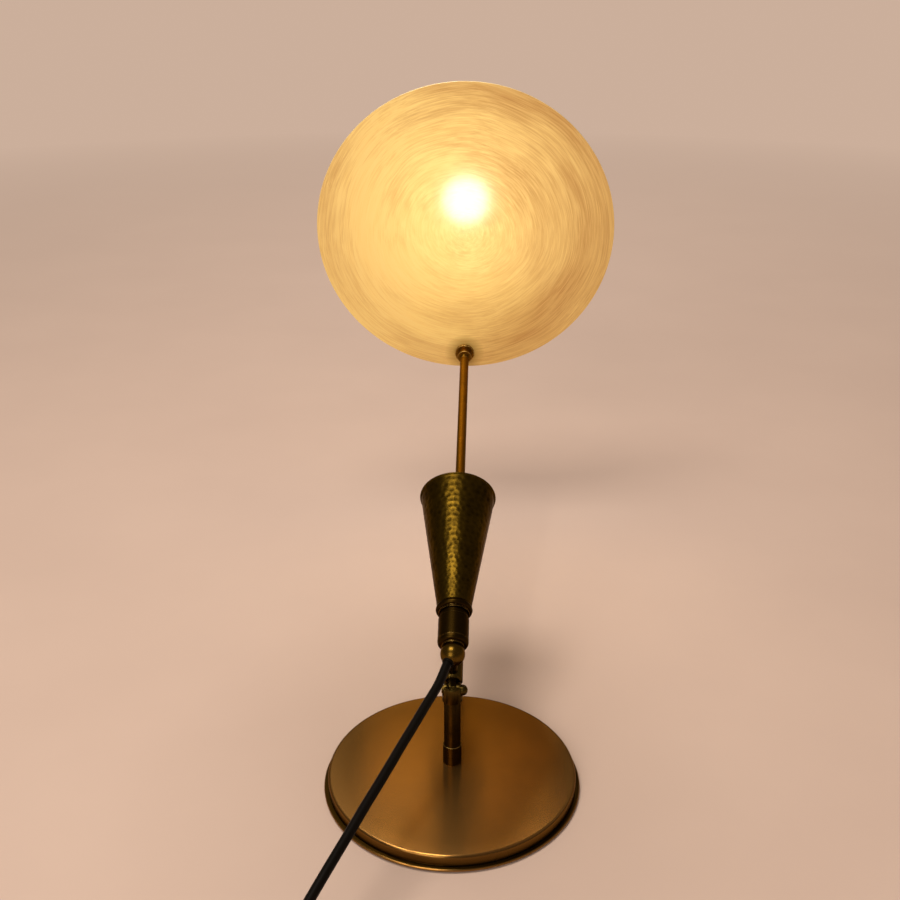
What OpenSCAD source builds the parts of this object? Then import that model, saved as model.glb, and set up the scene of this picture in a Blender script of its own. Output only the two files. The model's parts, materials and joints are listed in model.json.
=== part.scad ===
// Table lamp with a hammered cone shade that shines up onto a round brushed reflector.
// Origin: middle of the base's underside. +Z is up, and the arm leans back along +Y.

/* [Base] */
// Diameter of the rolled flange at the foot of the base
base_d = 170; // [150:1:200]
// Height of the base, pad included
base_h = 10.8; // [10:0.2:14]
// Thickness of the pad under the base
pad_t = 1; // [0.6:0.1:1.6]
// How far the pad stays inside the flange
pad_inset = 2; // [1:0.5:4]
// Radius of the flange's rolled bead
bead_r = 0.9; // [0.6:0.1:1.1]
// How far the side wall stands in from the flange
side_inset = 2.8; // [2.2:0.1:4]
// Depth of the groove between the flange and the side wall
groove_depth = 1; // [0.4:0.1:1.4]
// Height of the groove
groove_h = 1; // [0.5:0.1:1.5]
// Radius of the shoulder round the top
shoulder_r = 2; // [1:0.1:2.6]
// Wall of the base cover at the groove
cover_wall = 1.2; // [0.8:0.1:2]
// Thickness of the cover's top
cover_top_t = 1.2; // [0.8:0.1:2]
// How far the stem stands behind the middle of the base
stem_back = 7.8; // [0:0.2:20]

/* [Stem] */
// Outer diameter of the stem tube
stem_d = 11; // [10:0.1:11.2]
// Wall of the stem tube
stem_wall = 1; // [0.6:0.1:1.5]
// Outer diameter of the foot ferrule
ferrule_d = 12.4; // [12:0.1:13.4]
// Height of the foot ferrule
ferrule_h = 14.6; // [8:0.2:20]
// Height of the knuckle's pivot above the table
pivot_h = 68; // [55:1:90]
// Width across flats of the nut under the base
foot_nut_af = 14; // [14:0.5:17]
// Height of the nut under the base
foot_nut_h = 3; // [2:0.2:3.2]
// Outer diameter of the washer under the base
foot_washer_d = 20; // [18:0.5:24]
// Thickness of the washer under the base
foot_washer_t = 1; // [0.6:0.1:1.2]

/* [Knuckle] */
// Diameter of the collars of both halves
collar_d = 13.2; // [12.8:0.1:14]
// Height of the lower collar
collar_h = 4.7; // [4:0.1:5]
// Depth of the lower collar's underside below the pivot
collar_drop = 7.5; // [7.4:0.1:9]
// Height of the front hood above the pivot
hood_h = 4.2; // [3:0.1:5]
// Chamfer round the top of the front hood
hood_chamfer = 1; // [0.4:0.1:1.2]
// Width across the flats of the lower half
lug_w = 10.8; // [10:0.1:12]
// Radius of the lower half's rounded top
lug_r = 5.2; // [5.1:0.1:5.3]
// Width of the slot for the tongue
slot_w = 4.6; // [3.6:0.1:5]
// Thickness of the floor between the slot and the stem
slot_floor_t = 0.9; // [0.8:0.1:1.2]
// Radius of the tongue's rounded end
tongue_r = 4.8; // [4.4:0.1:4.9]
// Clearance on each side of the tongue
tongue_gap = 0.15; // [0.1:0.05:0.3]
// Diameter of the clamp screw's shank
screw_d = 4; // [3:0.1:4.6]
// Diameter of the clamp screw's head
screw_head_d = 7.2; // [6:0.1:8]
// Height of the clamp screw's head
screw_head_h = 4.6; // [2.4:0.1:5]
// Straight rim of the clamp screw's head
screw_rim_h = 1.2; // [0.6:0.1:1.6]
// Diameter of the flats milled for the screw's head and the nut
spotface_d = 8; // [7.4:0.1:8.6]
// Width across flats of the clamp nut
clamp_nut_af = 6; // [5.6:0.1:6.4]
// Thickness of the clamp nut
clamp_nut_t = 1.3; // [1.2:0.1:2.6]

/* [Arm] */
// Lean of the arm away from upright
arm_lean = 75; // [0:1:80]
// Start of the upper collar's neck, from the pivot along the arm
neck_start = 6.4; // [6:0.1:8]
// Taper length of the neck
neck_taper = 1.2; // [0.6:0.1:2]
// End of the upper collar, from the pivot along the arm
arm_collar_end = 29; // [24:0.5:40]
// Diameter of the thin rod
rod_d = 7.6; // [6.6:0.1:8.2]
// Wall of the thin rod
rod_wall = 1; // [0.6:0.1:1.4]
// Depth of the rod in the upper collar
rod_depth = 12.5; // [6:0.5:12.5]
// Distance from the knuckle's pivot to the ball at the rod's tip
rod_reach = 382; // [250:1:420]
// Diameter of the ball at the rod's tip
tip_ball_d = 8.8; // [8:0.1:9]
// Diameter of the neck behind the tip ball
tip_neck_d = 4.4; // [3.6:0.1:4.6]
// Distance from the tip ball's centre back to the rod's shoulder
tip_shoulder = 4.9; // [4.6:0.1:6]
// Thickness of the tip's shoulder
tip_shoulder_t = 1.5; // [1:0.1:3]
// Depth of the tip's spigot in the rod
tip_spigot = 8; // [4:0.5:16]

/* [Lampholder] */
// Distance of the cable ball from the pivot along the arm
ball_along = 12.3; // [11:0.1:12.6]
// Distance of the cable ball from the arm's axis
ball_out = 21; // [20.5:0.5:24]
// Diameter of the cable ball
ball_d = 16.3; // [16:0.1:17]
// Wall of the hollow cable ball
ball_wall = 3.1; // [2.9:0.1:3.4]
// Diameter of the stud that carries the cable ball
stud_d = 6.4; // [5:0.1:6.6]
// Lean of the lampholder and the cone away from upright
head_lean = 69; // [55:0.5:69]
// Outer diameter of the lampholder
holder_d = 20.6; // [20:0.1:22]
// Wall of the lampholder's band and sleeve
holder_wall = 1.5; // [0.8:0.1:2]
// Start of the cup, from the ball's centre along the lampholder
cup_start = 5.2; // [5:0.1:5.6]
// Diameter of the cup's neck round the ball
cup_neck_d = 14.6; // [14.2:0.1:15.4]
// Height of the cup's neck
cup_neck_h = 0.9; // [0.5:0.1:0.9]
// Radius of the cup's lower corner
cup_corner_r = 3; // [1.5:0.1:3]
// Height of the cup, neck included
cup_h = 4.3; // [4.3:0.1:6]
// Height of the sleeve above the cup
sleeve_h = 18.1; // [12:0.1:24]
// Depth of the chamfers at the sleeve's ends
ring_chamfer = 0.35; // [0.2:0.05:0.4]
// Diameter of the recessed band between the sleeve and the bead ring
band_d = 18.8; // [17:0.1:19.6]
// Height of the recessed band
band_h = 3.9; // [3:0.1:5]
// Diameter of the bead ring under the cone
bead_ring_d = 24.8; // [24:0.1:27]
// Height of the bead ring's round part
bead_ring_h = 4.5; // [3:0.1:6]
// Diameter of the bead ring's foot
bead_foot_d = 21.4; // [20.6:0.1:22]
// Height of the bead ring's foot
bead_foot_h = 1.5; // [0.8:0.1:2.4]
// Diameter of the threaded nipple in the lampholder
nipple_d = 10; // [9:0.1:10.4]
// Wall of the threaded nipple
nipple_wall = 1.5; // [1:0.1:2]
// Width across flats of the nipple's nut
nipple_nut_af = 14; // [13:0.5:16]
// Height of the nipple's nut
nipple_nut_h = 3; // [2:0.2:4]

/* [Cone shade] */
// Diameter of the cone's foot
cone_foot_d = 23.2; // [22.6:0.1:24.4]
// Diameter of the cone at its mouth, without the lip
cone_mouth_d = 54; // [53.6:0.1:60]
// Length of the cone
cone_len = 100.2; // [99:0.2:110]
// Wall of the cone
cone_wall = 0.7; // [0.5:0.05:0.8]
// How far the lip stands out from the cone
lip_out = 0.6; // [0.3:0.1:1.2]
// Height of the lip
lip_h = 1.4; // [0.8:0.1:3]
// Thickness of the cone's floor
cone_floor_t = 1.4; // [1:0.1:2]

/* [Lamp] */
// Diameter of the lamp socket
socket_d = 26; // [24:0.5:26.5]
// Height of the lamp socket
socket_h = 16; // [12:0.5:18]
// Distance from the cone's foot to the socket
socket_start = 20.5; // [16:0.5:22]
// Depth of the nipple in the socket
socket_nipple_depth = 3; // [2:0.5:5]
// Diameter of the reflector lamp at its front
lamp_d = 49.6; // [46:0.1:49.8]
// Length of the reflector lamp in front of the socket
lamp_len = 58.9; // [54:0.1:59]
// Diameter of the lamp's back
lamp_back_d = 22; // [18:0.5:24]
// Thickness of the lamp's front rim
lamp_rim_h = 2.6; // [2:0.1:3]
// Thickness of the lamp's front glass
lens_t = 1.2; // [0.8:0.1:1.6]
// Depth of the front glass below the lamp's rim
lens_sink = 0.4; // [0.1:0.1:0.8]
// Diameter of the lamp's pins
pin_d = 3; // [2:0.1:4]
// Distance between the lamp's pins
pin_pitch = 10; // [8:0.5:12]
// Length of the lamp's pins
pin_len = 7.5; // [5:0.5:9]

/* [Reflector] */
// Diameter of the reflector disc
disc_d = 254; // [200:1:300]
// Thickness of the reflector disc
disc_t = 0.8; // [0.6:0.1:1.5]
// Distance from the disc's fixing hole to its rim
hole_inset = 13; // [11:1:40]
// Lean of the disc's back axis away from upright
disc_lean = 84; // [72:1:87]
// Distance from the tip ball's centre to the disc's front face
disc_stand = 5.6; // [5.4:0.1:7]
// Diameter of the flange ring on the disc
flange_ring_d = 17; // [14:0.5:24]
// Thickness of the flange ring
flange_ring_t = 2; // [1.2:0.1:2]
// Diameter of the collar ring that holds the tip ball
collar_ring_d = 12.4; // [12:0.1:13.4]
// How far the collar ring reaches past the tip ball's centre
collar_ring_lip = 3.4; // [3.2:0.1:3.6]
// Diameter of the collar ring's mouth
collar_mouth_d = 6.6; // [6.2:0.1:7]
// Diameter of the thread through the disc
spigot_d = 8; // [6:0.5:9]
// Diameter of the washer behind the disc
rear_washer_d = 15; // [13:0.5:20]
// Thickness of the washer behind the disc
rear_washer_t = 1; // [0.6:0.1:2]
// Width across flats of the nut behind the disc
rear_nut_af = 13; // [11:0.5:15]
// Height of the nut behind the disc
rear_nut_h = 4; // [3:0.5:6]

/* [Cord] */
// Diameter of the round cord
cord_d = 6; // [5:0.1:6]
// Turn of the cord's exit to the lamp's left
exit_turn = 22; // [10:1:26]
// Drop of the cord's exit below the horizontal
exit_drop = 15; // [10:1:20]
// Outer diameter of the cord bush
bush_d = 7.6; // [7.4:0.1:8.6]
// Length of the cord bush
bush_len = 3; // [2:0.1:4]
// How far the bush's face lies from the ball's centre
bush_face = 8.6; // [8.4:0.1:10]
// Smallest radius of the coil
coil_inner_r = 24; // [24:0.5:30]
// Number of turns in the coil
coil_turns = 6.375; // [5.375:0.125:6.875]
// Step between neighbouring turns
coil_pitch = 6.6; // [6.5:0.1:7.5]
// Length of cord between the coil and the plug
tail_len = 76; // [50:1:120]
// Thickness of the coil's tie
tie_t = 0.5; // [0.4:0.1:0.8]
// Width of the coil's tie
tie_w = 8; // [5:0.5:12]

/* [Plug] */
// Length of the plug's strain relief
relief_len = 22; // [20:1:30]
// Diameter of the strain relief at the plug
relief_d = 11; // [9:0.5:12]
// Length of the plug body
plug_len = 34; // [30:1:40]
// Width of the plug body
plug_w = 26; // [24:0.5:30]
// Thickness of the plug body
plug_t = 14; // [13:0.5:16]
// Corner cut of the plug body
plug_cut = 7; // [4:0.5:8]
// Diameter of the plug's pins
plug_pin_d = 4; // [3.5:0.1:4.8]
// Length of the plug's pins
plug_pin_len = 19; // [17:0.5:20]
// Distance between the plug's pins
plug_pin_pitch = 18; // [17:0.5:19]

/* [Hidden] */
$fn = 96;

// Clearances between pieces
fit = 0.05;
seat_gap = 0.3;
overcut = 0.1;

// Base
side_r = base_d / 2 - side_inset;
groove_r = side_r - groove_depth;
cavity_r = groove_r - cover_wall;
cavity_top = base_h - cover_top_t;
flange_top = pad_t + 2 * bead_r;
weight_web_t = 3.2;
recess_gap = 2;
stem_past_nut = 0.6;
washer_top = cavity_top - weight_web_t;
recess_r = foot_washer_d / 2 + recess_gap;
foot_washer_z = washer_top - foot_washer_t;
foot_nut_z = foot_washer_z - foot_nut_h;
stem_bottom = foot_nut_z - stem_past_nut;

// Knuckle
lug_bottom = pivot_h - collar_drop;
hood_length = collar_drop + hood_h;
hood_back = 1;
bore_top = pivot_h - lug_r - slot_floor_t;
stem_top = bore_top - fit;
tongue_w = slot_w - 2 * tongue_gap;
screw_hole_r = screw_d / 2 + fit;
screw_past_nut = 0.4;
screw_end = lug_w / 2 + clamp_nut_t + screw_past_nut;

// Arm
rod_start = arm_collar_end - rod_depth;
rod_end = rod_reach - tip_shoulder - tip_shoulder_t;
stud_seat = 1.4;
stud_in_ball = 2.6;
stud_start = stud_d / 2 + stud_seat;
stud_end = ball_out - ball_d / 2 + stud_in_ball;
pivot = [0, stem_back, pivot_h];
ball_centre = pivot + along_arm(ball_along, ball_out);
tip_centre = pivot + along_arm(rod_reach, 0);

// Lampholder, along its own axis from the ball's centre
cup_play = 0.1;
cup_seat_r = ball_d / 2 + cup_play;
cup_corner_z = cup_start + cup_neck_h + cup_corner_r;
cup_top = cup_start + cup_h;
sleeve_top = cup_top + sleeve_h;
band_top = sleeve_top + band_h;
bead_start = band_top + bead_foot_h;
cone_start = bead_start + bead_ring_h;
cone_top = cone_start + cone_len;
nipple_hole_r = nipple_d / 2 + fit;
nipple_bore_r = nipple_d / 2 - nipple_wall;
nipple_start = sqrt(pow(ball_d / 2, 2) - pow(nipple_bore_r, 2)) + seat_gap;
socket_z = cone_start + socket_start;
lamp_z = socket_z + socket_h + seat_gap;
lamp_rim_w = 1.2;
lens_r = lamp_d / 2 - lamp_rim_w;
lens_z = lamp_len - lens_sink - lens_t;

// The lamp's outline as shares of its radius and of its length, from its back to its rim
lamp_back_share = 0.16;
lamp_curve = [[0.58, 0.30], [0.79, 0.54], [0.91, 0.81]];
lamp_rim_share = 0.97;

// Reflector, along its own axis from the tip ball's centre
disc_offset = disc_d / 2 - hole_inset;
tip_play = 0.06;
thread_wall = 0.55;
spigot_past_nut = 1;
tip_seat_r = tip_ball_d / 2 + tip_play;
disc_back = disc_stand + disc_t;
rear_nut_z = disc_back + rear_washer_t;
spigot_end = rear_nut_z + rear_nut_h + spigot_past_nut;
collar_thread_r = tip_seat_r + thread_wall;

// Cord. The free stretch's points are chosen by hand, from the ball down to the coil.
cord_r = cord_d / 2;
cord_hidden = 4.5;
cord_straight = 2;
exit_dir = [-sin(exit_turn) * cos(exit_drop), -cos(exit_turn) * cos(exit_drop), -sin(exit_drop)];
cord_start = ball_centre + cord_hidden * exit_dir;
cord_out = ball_centre + (bush_face + cord_straight) * exit_dir;
free_route = [
    [-8.5, -9.5, 84], [-15.5, -25.5, 80], [-22, -41, 76.5], [-28.5, -56, 73], [-34.5, -71, 70],
    [-40.5, -85.5, 67], [-46.5, -99.5, 64], [-52, -113, 61], [-57.5, -126, 58], [-63, -139, 55],
    [-68.5, -151.5, 51.5], [-74, -164.5, 48], [-79.5, -177.5, 44], [-85, -190.5, 39.5],
    [-90.5, -203.5, 34.5], [-96, -216.5, 29.5], [-101.5, -229.5, 24.5], [-106.5, -241.5, 20],
    [-111, -252.5, 16.5], [-115.5, -263, 13.5], [-119.5, -273, 11.5]];

// Coil: the turns spiral in on the upper layer, climb down, and spiral out on the lower one
coil_centre = [-84, -310];
coil_start_angle = 158;
coil_steps = 24;
coil_outer_r = coil_inner_r + coil_pitch * coil_turns / 2;
coil_rest = 0.1;
coil_low_z = tie_t + coil_rest + cord_r;
coil_high_z = coil_low_z + coil_pitch;
coil_end_angle = coil_start_angle + 360 * coil_turns;
coil_start_dir = heading(coil_start_angle + 90);
coil_end_dir = heading(coil_end_angle + 90);
coil_first = coil_point(0) - cord_d * coil_start_dir;
coil_last = coil_point(coil_turns) + cord_d * coil_end_dir;
coil_path = concat(
    [coil_first],
    [for (k = [0 : round(coil_turns * coil_steps)]) coil_point(k / coil_steps)],
    [coil_last]);
free_path = concat([cord_start, cord_out], free_route, [coil_first - cord_d * coil_start_dir, coil_first]);

// Tail and plug
tail_steps = 6;
relief_wall = 0.6;
plug_z = plug_t / 2;
tail_path = [for (k = [0 : tail_steps]) tail_point(k / tail_steps)];
plug_origin = [tail_path[tail_steps][0], tail_path[tail_steps][1], plug_z];

// Tie round the bundle of turns
tie_angle = 40;
tie_phase = (tie_angle - coil_start_angle) / 360 - floor((tie_angle - coil_start_angle) / 360);
tie_radii = [for (k = [0 : floor(coil_turns - tie_phase)]) coil_radius(tie_phase + k)];
tie_gap = 0.3;
tie_in = min(tie_radii) - cord_r - tie_gap;
tie_out = max(tie_radii) + cord_r + tie_gap;
tie_top = coil_high_z + cord_r + tie_gap;

function along_arm(s, out) = [0,
    s * sin(arm_lean) - out * cos(arm_lean),
    s * cos(arm_lean) + out * sin(arm_lean)];
function heading(angle) = [cos(angle), sin(angle), 0];
function smooth(x) = x <= 0 ? 0 : x >= 1 ? 1 : x * x * (3 - 2 * x);
function coil_radius(u) = coil_inner_r + coil_pitch * abs(coil_turns / 2 - u);
function coil_height(u) = coil_high_z - coil_pitch * smooth((u - coil_turns / 2) / 0.5 + 0.5);
function coil_point(u) = [
    coil_centre[0] + coil_radius(u) * cos(coil_start_angle + 360 * u),
    coil_centre[1] + coil_radius(u) * sin(coil_start_angle + 360 * u),
    coil_height(u)];
function tail_point(part) = coil_last + part * tail_len * coil_end_dir
    + [0, 0, (plug_z - coil_low_z) * smooth(part)];
function arc(x, y, r, from, to, steps) =
    [for (k = [0 : steps]) let(a = from + (to - from) * k / steps) [x + r * cos(a), y + r * sin(a)]];
function unit(v) = v / norm(v);
function path_length(p) = len(p) < 2 ? 0 : sum([for (k = [1 : len(p) - 1]) norm(p[k] - p[k - 1])]);
function sum(v, k = 0) = k < len(v) ? v[k] + sum(v, k + 1) : 0;
function tangent(p, k) = k == 0 ? unit(p[1] - p[0])
    : k == len(p) - 1 ? unit(p[k] - p[k - 1])
    : unit(unit(p[k + 1] - p[k]) + unit(p[k] - p[k - 1]));
function ring(p, k, r, sides, first) =
    let(t = tangent(p, k), across = unit(cross([0, 0, 1], t)), up = cross(t, across))
    [for (j = [0 : sides - 1]) let(a = first + 360 * j / sides)
        p[k] + r * cos(a) * across + r * sin(a) * up];
function cone_radius(t) = (cone_foot_d + (cone_mouth_d - cone_foot_d) * (t - cone_start) / cone_len) / 2;

echo(cord_length_mm = path_length(free_path) + path_length(coil_path) + path_length(tail_path));
echo(free_mm = path_length(free_path), coil_mm = path_length(coil_path), tail_mm = path_length(tail_path));
coil_last_step = len(coil_path) - 2;
echo(coil_least_gap_mm = min([for (i = [1 : coil_last_step], j = [i + coil_steps / 2 : 1 : coil_last_step])
    norm(coil_path[i] - coil_path[j])]) - cord_d);

// A tube along a path, with one ring at each point and closed ends
module tube_along(path, r, sides, first) {
    n = len(path);
    points = [for (k = [0 : n - 1]) each ring(path, k, r, sides, first)];
    walls = [for (k = [0 : n - 2], j = [0 : sides - 1])
        let(a = k * sides + j, b = k * sides + (j + 1) % sides)
        each [[a, b, b + sides], [a, b + sides, a + sides]]];
    front = [for (j = [1 : sides - 2]) [0, j + 1, j]];
    last = (n - 1) * sides;
    back = [for (j = [1 : sides - 2]) [last, last + j, last + j + 1]];
    polyhedron(points, [for (f = concat(walls, front, back)) [f[2], f[1], f[0]]]);
}

// Places a child on the arm, in the lampholder, on the reflector, at the cord's exit or at the plug
module on_arm(s = 0) translate(pivot) rotate([-arm_lean, 0, 0]) translate([0, 0, s]) children();
module in_head(t = 0) translate(ball_centre) rotate([-head_lean, 0, 0]) translate([0, 0, t]) children();
module on_disc(t = 0) translate(tip_centre) rotate([-disc_lean, 0, 0]) translate([0, 0, t]) children();
module at_exit(t = 0)
    translate(ball_centre) rotate([90 + exit_drop, 0, -exit_turn]) translate([0, 0, t]) children();
module at_plug() translate(plug_origin) rotate([0, 0, coil_end_angle + 90]) children();
module stem_axis(z = 0) translate([0, stem_back, z]) children();

// A ring or a hexagon nut with a round hole
module washer(outer_r, hole_r, h) difference() {
    cylinder(r = outer_r, h = h);
    translate([0, 0, -overcut]) cylinder(r = hole_r, h = h + 2 * overcut);
}
module hex_nut(flats, hole_r, h) difference() {
    cylinder(d = flats / cos(30), h = h, $fn = 6);
    translate([0, 0, -overcut]) cylinder(r = hole_r, h = h + 2 * overcut);
}

module base_pad() color([0.08, 0.08, 0.08]) cylinder(r = base_d / 2 - pad_inset, h = pad_t);

module base_weight() color([0.35, 0.36, 0.38]) difference() {
    translate([0, 0, pad_t]) cylinder(r = cavity_r - seat_gap, h = cavity_top - pad_t);
    stem_axis(pad_t - overcut) cylinder(r = recess_r, h = washer_top - pad_t + overcut);
    stem_axis() cylinder(r = stem_d / 2 + fit, h = base_h);
}

module base_cover() color([0.50, 0.33, 0.15]) difference() {
    rotate_extrude($fn = 180) polygon(concat(
        [[0, cavity_top], [cavity_r, cavity_top], [cavity_r, pad_t]],
        arc(base_d / 2 - bead_r, pad_t + bead_r, bead_r, -90, 90, 8),
        [[groove_r, flange_top], [groove_r, flange_top + groove_h], [side_r, flange_top + groove_h]],
        arc(side_r - shoulder_r, base_h - shoulder_r, shoulder_r, 0, 90, 8),
        [[0, base_h]]));
    stem_axis() cylinder(r = stem_d / 2 + fit, h = base_h + overcut);
}

module foot_nut() color([0.70, 0.62, 0.40])
    stem_axis(foot_nut_z) hex_nut(foot_nut_af, stem_d / 2 + fit, foot_nut_h);

module foot_washer() color([0.70, 0.70, 0.70])
    stem_axis(foot_washer_z) washer(foot_washer_d / 2, stem_d / 2 + fit, foot_washer_t);

module foot_ferrule() color([0.45, 0.32, 0.14])
    stem_axis(base_h) washer(ferrule_d / 2, stem_d / 2 + fit, ferrule_h);

module stem_tube() color([0.42, 0.30, 0.13])
    stem_axis(stem_bottom) washer(stem_d / 2, stem_d / 2 - stem_wall, stem_top - stem_bottom);

// The front is closed by a round hood, and the slot is open to the back and the top
module knuckle_base() color([0.48, 0.35, 0.12]) difference() {
    union() {
        stem_axis(lug_bottom) cylinder(d = collar_d, h = collar_h);
        translate(pivot) rotate([0, 90, 0]) cylinder(r = lug_r, h = lug_w, center = true);
        stem_axis(lug_bottom) translate([-lug_w / 2, -lug_r, 0]) cube([lug_w, 2 * lug_r, collar_drop]);
        stem_axis(lug_bottom) intersection() {
            rotate_extrude() polygon([
                [0, 0],
                [collar_d / 2, 0],
                [collar_d / 2, hood_length - hood_chamfer],
                [collar_d / 2 - hood_chamfer, hood_length],
                [0, hood_length]]);
            translate([-lug_w / 2, -collar_d, 0]) cube([lug_w, collar_d - hood_back, hood_length]);
        }
    }
    stem_axis(lug_bottom - overcut) cylinder(r = stem_d / 2 + fit, h = bore_top - lug_bottom + overcut);
    translate(pivot) rotate([90, 0, 90]) translate([0, 0, -slot_w / 2]) linear_extrude(slot_w)
        polygon(concat(
            arc(0, 0, lug_r, 180, 270, 8),
            [[collar_d, -lug_r], [collar_d, collar_d], [-lug_r, collar_d]]));
    translate(pivot) rotate([0, 90, 0]) cylinder(r = screw_hole_r, h = 2 * collar_d, center = true);
    for (side = [-1, 1]) translate(pivot) rotate([0, side * 90, 0]) translate([0, 0, lug_w / 2])
        cylinder(d = spotface_d, h = collar_d);
}

module clamp_nut() color([0.45, 0.33, 0.14])
    translate(pivot) rotate([0, -90, 0]) translate([0, 0, lug_w / 2])
        hex_nut(clamp_nut_af, screw_hole_r, clamp_nut_t);

module clamp_screw() color([0.46, 0.33, 0.14]) translate(pivot) rotate([0, 90, 0]) {
    translate([0, 0, -screw_end]) cylinder(d = screw_d, h = screw_end + lug_w / 2 + screw_rim_h);
    translate([0, 0, lug_w / 2 + 2 * fit]) rotate_extrude() polygon(concat(
        [[0, 0], [screw_head_d / 2, 0]],
        [for (a = [0 : 15 : 90]) [
            screw_head_d / 2 * cos(a),
            screw_rim_h + (screw_head_h - screw_rim_h) * sin(a)]]));
}

module knuckle_head() color([0.44, 0.32, 0.13]) on_arm() difference() {
    union() {
        rotate([0, 90, 0]) cylinder(r = tongue_r, h = tongue_w, center = true);
        translate([-tongue_w / 2, -tongue_r, 0]) cube([tongue_w, 2 * tongue_r, neck_start + neck_taper]);
        rotate_extrude() polygon([
            [0, neck_start],
            [lug_r, neck_start],
            [collar_d / 2, neck_start + neck_taper],
            [collar_d / 2, arm_collar_end - neck_taper],
            [collar_d / 2 - neck_taper, arm_collar_end],
            [0, arm_collar_end]]);
    }
    rotate([0, 90, 0]) cylinder(r = screw_hole_r, h = 2 * collar_d, center = true);
    translate([0, 0, rod_start]) cylinder(r = rod_d / 2 + fit, h = arm_collar_end);
    translate([0, 0, ball_along]) rotate([90, 0, 0]) translate([0, 0, stud_start])
        cylinder(r = stud_d / 2 + fit, h = collar_d);
}

module rod() color([0.72, 0.48, 0.18])
    on_arm(rod_start) washer(rod_d / 2, rod_d / 2 - rod_wall, rod_end - rod_start);

module rod_tip() color([0.66, 0.46, 0.18]) on_arm() {
    translate([0, 0, rod_reach]) sphere(d = tip_ball_d);
    translate([0, 0, rod_end]) cylinder(d = tip_neck_d, h = rod_reach - rod_end);
    translate([0, 0, rod_end]) cylinder(d = rod_d, h = tip_shoulder_t);
    translate([0, 0, rod_end - tip_spigot]) cylinder(r = rod_d / 2 - rod_wall - fit, h = tip_spigot + overcut);
}

module ball_stud() color([0.44, 0.32, 0.13]) on_arm(ball_along) rotate([90, 0, 0])
    translate([0, 0, stud_start]) cylinder(d = stud_d, h = stud_end - stud_start);

module cable_ball() color([0.62, 0.46, 0.18]) difference() {
    translate(ball_centre) sphere(d = ball_d);
    translate(ball_centre) sphere(r = ball_d / 2 - ball_wall);
    at_exit() cylinder(r = cord_r + seat_gap, h = ball_d);
    at_exit(bush_face - bush_len) cylinder(r = bush_d / 2 + fit, h = ball_d);
    in_head() cylinder(r = cord_r + seat_gap, h = ball_d);
    on_arm(ball_along) rotate([90, 0, 0]) cylinder(r = stud_d / 2 + fit, h = stud_end);
}

module cord_bush() color([0.05, 0.05, 0.05])
    at_exit(bush_face - bush_len) washer(bush_d / 2, cord_r + fit, bush_len);

module holder_cup() color([0.40, 0.29, 0.12]) in_head() difference() {
    rotate_extrude() polygon(concat(
        [[0, cup_start], [cup_neck_d / 2, cup_start], [cup_neck_d / 2, cup_start + cup_neck_h]],
        arc(holder_d / 2 - cup_corner_r, cup_corner_z, cup_corner_r, -75, 0, 6),
        [[holder_d / 2, cup_top - ring_chamfer], [holder_d / 2 - ring_chamfer, cup_top], [0, cup_top]]));
    sphere(r = cup_seat_r);
    cylinder(r = nipple_hole_r, h = cup_top + overcut);
}

module holder_band() color([0.42, 0.30, 0.12])
    in_head(sleeve_top) washer(band_d / 2, nipple_hole_r, band_h);

module holder_sleeve() color([0.34, 0.25, 0.11]) in_head() rotate_extrude() polygon([
    [holder_d / 2 - holder_wall, cup_top],
    [holder_d / 2 - ring_chamfer, cup_top],
    [holder_d / 2, cup_top + ring_chamfer],
    [holder_d / 2, sleeve_top - ring_chamfer],
    [holder_d / 2 - ring_chamfer, sleeve_top],
    [nipple_hole_r, sleeve_top],
    [nipple_hole_r, sleeve_top - holder_wall],
    [holder_d / 2 - holder_wall, sleeve_top - holder_wall]]);

module bead_ring() color([0.45, 0.32, 0.12]) in_head() rotate_extrude() polygon(concat(
    [[nipple_hole_r, band_top], [bead_foot_d / 2, band_top]],
    arc(bead_ring_d / 2 - bead_ring_h / 2, bead_start + bead_ring_h / 2, bead_ring_h / 2, -90, 90, 10),
    [[nipple_hole_r, cone_start]]));

module cone_shade() color([0.38, 0.27, 0.07]) in_head() rotate_extrude() polygon([
    [nipple_hole_r, cone_start],
    [cone_foot_d / 2, cone_start],
    [cone_radius(cone_top - lip_h), cone_top - lip_h],
    [cone_mouth_d / 2 + lip_out, cone_top - lip_h],
    [cone_mouth_d / 2 + lip_out, cone_top],
    [cone_mouth_d / 2 - cone_wall, cone_top],
    [cone_radius(cone_start + cone_floor_t) - cone_wall, cone_start + cone_floor_t],
    [nipple_hole_r, cone_start + cone_floor_t]]);

module nipple() color([0.70, 0.62, 0.40]) in_head(nipple_start)
    washer(nipple_d / 2, nipple_bore_r, socket_z + socket_nipple_depth - nipple_start);

module nipple_nut() color([0.70, 0.62, 0.40]) in_head(cone_start + cone_floor_t)
    hex_nut(nipple_nut_af, nipple_hole_r, nipple_nut_h);

module lamp_socket() color([0.90, 0.89, 0.85]) in_head(socket_z) difference() {
    cylinder(d = socket_d, h = socket_h);
    translate([0, 0, -overcut]) cylinder(r = nipple_hole_r, h = socket_nipple_depth + overcut);
    for (side = [-1, 1]) translate([side * pin_pitch / 2, 0, socket_h - pin_len - seat_gap])
        cylinder(r = pin_d / 2 + seat_gap, h = pin_len + seat_gap + overcut);
}

module lamp_body() color([0.90, 0.90, 0.88]) in_head(lamp_z) rotate_extrude() polygon(concat(
    [[0, 0], [lamp_back_d / 2, 0], [lamp_back_d / 2, lamp_back_share * lamp_len]],
    [for (p = lamp_curve) [p[0] * lamp_d / 2, p[1] * lamp_len]],
    [
        [lamp_rim_share * lamp_d / 2, lamp_len - lamp_rim_h],
        [lamp_d / 2, lamp_len - lamp_rim_h],
        [lamp_d / 2, lamp_len],
        [lens_r + fit, lamp_len],
        [lens_r + fit, lens_z],
        [0, lens_z]]));

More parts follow.
